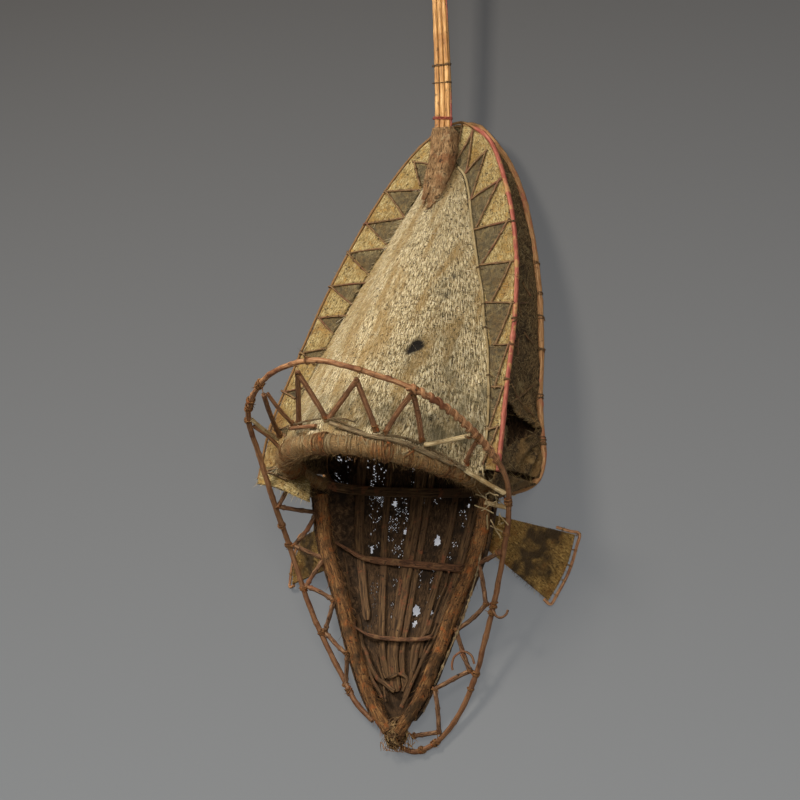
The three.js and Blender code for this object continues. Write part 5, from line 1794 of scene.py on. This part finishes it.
# The tip: the two limbs and the hoop tied together in a wad of straw, with shaggy bast fibre
# hanging from it.
TIP_MIDDLE = (1, -320, 13.5)
TIP_RADII = (15, 19, 12)
TIP_END = -340.5
STALKS = 95
SHAG = 70

straw_stalks = streaked_finish(
    "straw_and_bast", (0.8, 8.0),
    {0.27: "#33241a", 0.42: "#675036", 0.55: "#94784e", 0.72: "#cdb482"},
    [(13.0, "#4d3822", 0.46, 0.6), (4.0, "#2c1d12", 0.58, 0.7)], relief=0.3, roughness=0.88)
rng = np.random.default_rng(12)
stalks = []
for i in range(STALKS):
    pole = unit(rng.normal(0, 1, 3) * (1.0, 0.55, 0.5))
    side = unit(np.cross(pole, rng.normal(0, 1, 3)))
    up = np.cross(pole, side)
    tilt = rng.uniform(-0.6, 0.6)
    angle = rng.uniform(0, 2 * math.pi) + np.linspace(0, rng.uniform(1.6, 4.2), 26)[:, None]
    ring = math.cos(tilt) * (side * np.cos(angle) + up * np.sin(angle)) + math.sin(tilt) * pole
    shell = rng.uniform(0.55, 0.94)
    stalk = TIP_MIDDLE + ring * shell * TIP_RADII
    stalk[:, 2] = np.maximum(stalk[:, 2], 1.6)
    stalks.append(stalk)
canes(
    "tip_straw", stalks, straw_stalks, "straw", ["tip_knot"], radius=0.95, flatness=0.7, step=2.4,
    sides=6, bark_depth=0.2, bark_size=1.5)
shag = []
for i in range(SHAG):
    start = TIP_MIDDLE + rng.normal(0, 1, 3) * (9, 5, 3) + (0, -6, 0)
    fall = unit(rng.normal(0, 1, 3) * (0.8, 0.35, 0.25) + (0.1, -1.0, -0.45))
    length = rng.uniform(8, 20)
    line = wandering(start + fall * np.linspace(0, length, 12)[:, None], 6, 1.8, 90 + 3 * i, 1)
    line[:, 2] = np.maximum(line[:, 2], 0.8)
    line[:, 1] = np.maximum(line[:, 1], TIP_END)
    shag.append((line, None, np.linspace(1.0, 0.4, 12)))
canes(
    "tip_shag", shag, ring_fibre, "fibre", radius=0.5, step=1.6, sides=5)


# Dark cloth that closes the foot of the board on each side, from its corner to the ring.
FOOT_CLOTH_CORNERS = [(116, -68.5, 70), (133, -37, 8), (98, -53, 16)]
FOOT_CLOTH_LAP = 1.1
FOOT_CLOTH_TOPS = {"left": (-149, -61, 111), "right": (139, -48, 108)}
FOOT_CLOTH_SIZE = (0.070, 0.105)
FOOT_CLOTH_CELLS = (34, 44)
FOOT_CLOTH_AREA = {"left": 0.0036, "right": 0.0030}

for side, sign in (("left", -1), ("right", 1)):
    corners = [FOOT_CLOTH_TOPS[side]] + [(sign * x, y, z) for x, y, z in FOOT_CLOTH_CORNERS]
    middle = np.mean(corners, axis=0)
    a, b, c, d = middle + (corners - middle) * FOOT_CLOTH_LAP

    def foot_surface(u, v, a=a, b=b, c=c, d=d, flip=sign > 0):
        """The four corners joined, with a little slack in the middle."""
        u = (1 - u if flip else u)[..., None]
        v = v[..., None]
        return (a * (1 - u) + b * u) * (1 - v) + (c * (1 - u) + d * u) * v

    piece = cloth(
        f"foot_cloth_sewn_{side}", foot_surface, FOOT_CLOTH_CELLS, CLOTH,
        lambda places, across, along: 1.3 * wander(places, 14, 8, layers=3) - 0.8,
        dark_barkcloth, "dark_barkcloth", [f"foot_cloth_{side}"], flat=FOOT_CLOTH_SIZE,
        area=FOOT_CLOTH_AREA[side], rests_on=["back_edge", "front_edge"], width=60,
        marks={"tan": lambda places: 0.5 + 0.5 * wander(places, 16, 5, layers=2)})
    fibres(
        f"foot_cloth_fibres_{side}", piece, dark_fibres, "dark_barkcloth", length=8.0, thickness=0.2,
        density=130000.0, lift=0.2, spread=1.2, seed=83)


# Bindings: twisted strips of cane skin and bast that tie the hoop, the sticks and the struts
# where they cross, with their ends left loose.
def binding(place, way, radius, turns, seed, ends=2, reach=8.0, thick=1.0):
    """Crossing loops round a stick at a place, and the loose ends of the tie."""
    rng = np.random.default_rng(seed)
    place, way = np.array(place, float), unit(way)
    lines = []
    for _ in range(turns):
        axis = unit(way + rng.normal(0, 0.3, 3))
        slip = way * rng.uniform(-0.6, 0.6) * turns
        loop = loop_over(
            place + slip, axis, radius * rng.uniform(1.0, 1.2), 1.06, 0.6, rng.uniform(0, 6.28))
        lines.append((loop, None, thick * rng.uniform(0.75, 1.2)))
    for _ in range(ends):
        start = place + radius * unit(rng.normal(0, 1, 3))
        run = unit(rng.normal(0, 1, 3) * (1, 1, 0.6) + 0.3 * way)
        line = start + run * np.linspace(0, reach * rng.uniform(0.6, 1.4), 9)[:, None]
        stray = [wander(line, 5, seed + 7 * axis) for axis in range(3)]
        line = line + 1.3 * np.column_stack(stray) * np.linspace(0, 1, 9)[:, None]
        line[:, 2] = np.maximum(line[:, 2], 1.2)
        lines.append((line, None, thick * np.linspace(0.8, 0.3, 9)))
    return lines


def ties_on(line, rows, radius, seed, ends=2, reach=9.0):
    """Ties along a line. Each row is a place and turns, then its loose ends and how far they
    reach where they differ from the rest, and its thickness."""
    way = heading(line)
    ties = []
    for i, (place, turns, *loose, thick) in enumerate(rows):
        spot = index_near(line, place)
        loose = loose or (ends, reach)
        ties += binding(line[spot], way[spot], radius, turns, seed + i, *loose, thick)
    return ties


# Each tie on the hoop: its place along it, turns, loose ends, how far they reach, thickness.
HOOP_TIES = [
    ((-87, 18, 237), 9, 7, 11, 1.5), ((-113, 6, 211), 5, 1, 6, 1.3),
    ((-121, 2, 201), 6, 2, 9, 1.4), ((-132, -9, 180), 4, 1, 6, 1.2),
    ((-136, -105, 84), 3, 1, 5, 0.9), ((-134, -126, 66), 4, 2, 6, 1.0),
    ((-121, -170, 46), 4, 2, 6, 1.0), ((-100, -217, 29), 4, 1, 6, 1.0),
    ((-65, -277, 14), 5, 3, 8, 1.0), ((99, 15, 226), 4, 2, 6, 1.1),
    ((141, -20, 158), 4, 2, 6, 1.1), ((147, -76, 88), 6, 3, 9, 1.2),
    ((140, -107, 71), 3, 2, 7, 1.0), ((119, -179, 42), 5, 2, 8, 1.1),
    ((116, -187, 40), 4, 1, 6, 1.0), ((95, -251, 19.5), 4, 2, 6, 1.0),
    ((88, -267, 15.5), 3, 5, 6, 0.7), ((46, -328, 5.6), 5, 2, 7, 1.0),
    ((30, -336, 4.8), 4, 2, 7, 1.0), ((-5, 34, 274), 2, 0, 4, 0.7),
    ((50, 27, 259), 2, 0, 4, 0.7),
]
# Dark bast, twisted and dry, orange where its inner side shows.
tie_bast = streaked_finish(
    "twisted_bast_dark", (0.6, 5.0),
    {0.28: "#23150c", 0.43: "#553820", 0.56: "#7d5732", 0.73: "#ab8251"},
    [(8.0, "#8f4f27", 0.55, 0.68), (3.0, "#1d110a", 0.6, 0.72)], relief=0.4)


def tie_up(name, ties, finish=tie_bast, radius=0.85, **numbers):
    """All the ties of one kind as one piece, of dark bast or another finish."""
    usual = dict(flatness=0.75, step=1.2, sides=6, bark_depth=0.3, bark_size=1.5)
    canes(name, ties, finish, "fibre", radius=radius, **{**usual, **numbers})


tie_up(
    "hoop_ties", ties_on(hoop_line, HOOP_TIES, HOOP_RADIUS + 0.6, 400), step=1.5, sides=5,
    bark_depth=0.4)

# The zigzag sticks are tied at each of their corners.
ties = []
for side, corners in (("left", LACE_LEFT), ("right", LACE_RIGHT)):
    for i, corner in enumerate(corners):
        way = np.subtract(corners[min(i + 1, len(corners) - 1)], corners[max(i - 1, 0)])
        ties += binding(
            corner, way, LACE_RADIUS + 0.7, 3, 500 + i + len(side) * 20, 1 + i % 2, 6.0, 0.8)
tie_up("zigzag_ties", ties, radius=0.8)

# Where the struts stand on the ring and the hood, strips of split cane hold their feet.
STRUT_TIES = [
    ((-29, 25, 253), 2.9, 2), ((-13, -13, 214), 2.9, 5), ((-60, -13, 192), 2.9, 4),
    ((37, 20, 242), 2.9, 2), ((44, -22, 205), 2.9, 6), ((94, 11, 221), 2.9, 3),
    ((54, -23, 199), 2.9, 3), ((81, -25, 171), 2.9, 5), ((-115, -16, 143), 2.9, 4),
    ((-76, -12, 178), 2.4, 4), ((131, -19, 160), 2.6, 3), ((113, -41, 126), 2.6, 4),
]
ties = []
for i, (place, radius, turns) in enumerate(STRUT_TIES):
    ties += binding(place, (0.3 * (i % 3 - 1), 0.7, 0.7), radius, turns, 600 + i, 2, 8.0, 0.9)
tie_up("strut_ties", ties, flatness=0.7)

# Tendrils: thin ends of the ties that dried curled.
TENDRILS = [
    [(119, -184, 42), (125, -191, 45), (131, -193, 46), (137, -189, 45), (138, -184, 44)],
    [(79, -229, 29), (72, -236, 31), (70, -246, 30), (71, -250, 29)],
    [(80, -229, 29), (87, -230, 31), (94, -234, 32), (97, -242, 30)],
    [(90, -247, 22), (84, -240, 27), (79, -232, 30)],
]
canes(
    "tendrils", [(curve_through(line, 1.5), None, 1.0) for line in TENDRILS], twig_bark,
    "brown_cane", radius=1.35, step=1.4, sides=8, bark_depth=0.6)

# Stray twigs and stalks caught where the last struts meet the hoop at the lower right.
STRAY_TWIGS = 18
rng = np.random.default_rng(21)
twigs = []
for i in range(STRAY_TWIGS):
    start = (130, -80, 88) + rng.normal(0, 1, 3) * (7, 10, 7)
    run = unit(rng.normal(0, 1, 3) * (1.0, 1.0, 0.5))
    line = wandering(
        start + run * np.linspace(0, rng.uniform(8, 24), 10)[:, None], 9, 1.8, 70 + 3 * i, 1)
    twigs.append((line, None, rng.uniform(0.4, 1.1), rng.uniform(0.3, 1.0)))
canes(
    "stray_twigs", twigs, pale_cane, "bare_cane", radius=0.85, step=1.6, sides=6, bark_depth=0.3)

# Broken strips of grey split cane along the hood's mouth, over the top of the ring.
MOUTH_STRIPS = [
    ([(-62, -17, 199), (-40, -16, 211), (-16, -15, 220)], 1.2),
    ([(-1, -14, 221), (35, -28, 212)], 1.7), ([(-8, -16, 219), (12, -15, 221), (26, -18, 216)], 1.0),
    ([(34, -32, 214), (52, -30, 201)], 3.2), ([(50, -27, 200), (66, -27, 186), (80, -30, 168)], 1.7),
    ([(77, -36, 189), (96, -44, 165)], 2.2), ([(88, -34, 160), (102, -40, 144), (116, -48, 128)], 1.5),
    ([(60, -30, 190), (86, -36, 172)], 1.0), ([(100, -44, 158), (117, -50, 132)], 1.1),
    ([(20, -24, 219), (46, -32, 206)], 1.0),
]
strips = [
    (curve_through(points, 1.5), (0.2, 0.7, 0.7), width / 2.0, 0.5 + 0.1 * (i % 6))
    for i, (points, width) in enumerate(MOUTH_STRIPS)
]
canes(
    "mouth_strips", strips, dusty_cane, "bare_cane", radius=1.7, flatness=0.4, squareness=0.5,
    step=1.6, bark_depth=0.8, bark_size=2.5)

# Lashings round the head ring: place on it, turns and thickness.
LASHING_RADIUS = 10.9
RING_LASHINGS = [((-8, -42, 222), 8, 1.1), ((61, -46, 200), 6, 1.3), ((77, -49, 184), 5, 0.8),
                 ((-70, -46, 190), 4, 0.8), ((98, -52, 140), 6, 0.9), ((-105, -50, 110), 5, 0.8)]
tie_up(
    "ring_lashings", ties_on(ring_line, RING_LASHINGS, LASHING_RADIUS, 700), radius=1.0,
    flatness=0.6, step=2, sides=5, bark_depth=0.5, bark_size=2)


def on_gusset(y, z, lift=1.4):
    """A place on the outside of the right side of the board."""
    half = back_line[len(back_line) // 2:]
    spot = len(back_line) // 2 + int(np.argmin(np.abs(half[:, 1] - y)))
    share = (back_line[spot, 2] - z) / (back_line[spot, 2] - FRONT_CANE_RADIUS)
    place = gusset_surface(np.array([spot / (len(back_line) - 1)]), np.array([share]))[0]
    return place + np.array((lift, 0.0, 0.0))


# Pale twigs that pin the rough cloth of the side, each pushed through near the red cane, and
# the knots that tie the front cane.
SIDE_TWIGS = [
    [(193, 63), (201, 47), (184, 63)], [(151, 64), (159, 31)], [(100, 78), (101, 58)],
    [(99, 80), (108, 62), (92, 62)], [(62, 17), (48, 40), (34, 76)], [(150, 66), (140, 52)],
    [(54, 80), (40, 60), (24, 17)], [(120, 40), (112, 22)], [(180, 40), (170, 24)],
]
twigs = []
for i, corners in enumerate(SIDE_TWIGS):
    ends = [on_gusset(y, z) for y, z in corners]
    twigs += [(stick, None, 0.8 + 0.15 * (i % 3)) for stick in stick_between(ends, 0.8, 800 + i)]
canes(
    "side_twigs", twigs, brown_cane, "brown_cane", radius=1.0, step=1.6, sides=7, bark_depth=0.5)
FRONT_TIES = [((136, 10, 4), 7, 1.1), ((119, 150, 4), 4, 0.7), ((112, 178, 4), 3, 0.6),
              ((121, 113, 4), 4, 0.8), ((127, 60, 4), 5, 0.7), ((104, 212, 4), 3, 0.6)]
BACK_TIES = [((126, 130, 76), 4, 1.0), ((130, 98, 83), 3, 0.6), ((96, 248, 53), 3, 0.6),
             ((131, 57, 91), 3, 0.7)]
right_front = front_line[len(front_line) // 2:]
ties = ties_on(right_front, FRONT_TIES, FRONT_CANE_RADIUS + 0.5, 820, 1, 5.0)
ties += ties_on(back_line, BACK_TIES, BACK_CANE_RADIUS + 0.4, 840, 1, 4.0)
for line in ties:
    line[0][:, 2] = np.maximum(line[0][:, 2], 1.2)
tie_up("edge_ties", ties, brown_cane, 0.75, flatness=0.8)

# Strips of dark bast and thin reeds that lie loose along the jaw, inside the limbs.
LOOSE_REEDS = [
    [(-84, -125, 30), (-70, -170, 30), (-57, -212, 30), (-36, -262, 27)],
    [(-78, -150, 28), (-62, -200, 29), (-40, -248, 27), (-18, -284, 22)],
    [(-58, -196, 27), (-44, -232, 27), (-24, -262, 24), (-2, -276, 22)],
    [(46, -190, 27), (34, -228, 27), (22, -262, 24), (10, -290, 20)],
    [(60, -165, 28), (44, -214, 28), (28, -250, 26), (12, -280, 21)],
    [(38, -196, 27), (24, -226, 27), (18, -262, 24), (6, -292, 19)],
    [(-30, -238, 25), (-20, -262, 23), (-12, -288, 20)],
    [(-12, -262, 24), (2, -258, 25), (14, -264, 24), (8, -276, 22)],
    [(24, -206, 28), (18, -236, 26), (14, -276, 21)],
    [(54, -140, 29), (44, -180, 29), (34, -212, 28)],
]
reeds = []
for i, points in enumerate(LOOSE_REEDS):
    reed = wandering(curve_through(points, 1.5), 14, 1.6, 90 + i)
    reeds.append((reed, (1.0, 0.2, 0.0), 0.7 + 0.35 * (i % 3)))
canes(
    "loose_reeds", reeds, splint_wood, "splint_wood", radius=1.9, flatness=0.45, squareness=0.6,
    step=1.8, sides=8, bark_depth=0.8, bark_size=2.5)

# The turned-over edge of the jaw's skin, pale and toothed where it was stitched, along the
# outside of the right limb.
SKIN_EDGE = [(104, -120, 55), (98, -150, 50), (83, -196, 42), (64, -238, 34), (36, -296, 21)]
edge_line = curve_through(SKIN_EDGE, 1.2)
teeth = 0.7 + 0.9 * np.clip(wander(edge_line, 2.4, 44, layers=2), -0.2, 1)
canes(
    "skin_edge", [(edge_line, (1.0, 0.4, 0.0), teeth, 0.0)], dusty_cane, "fibre", radius=1.4,
    flatness=0.35, step=1.2, sides=8, bark_depth=0.8, bark_size=1.6)
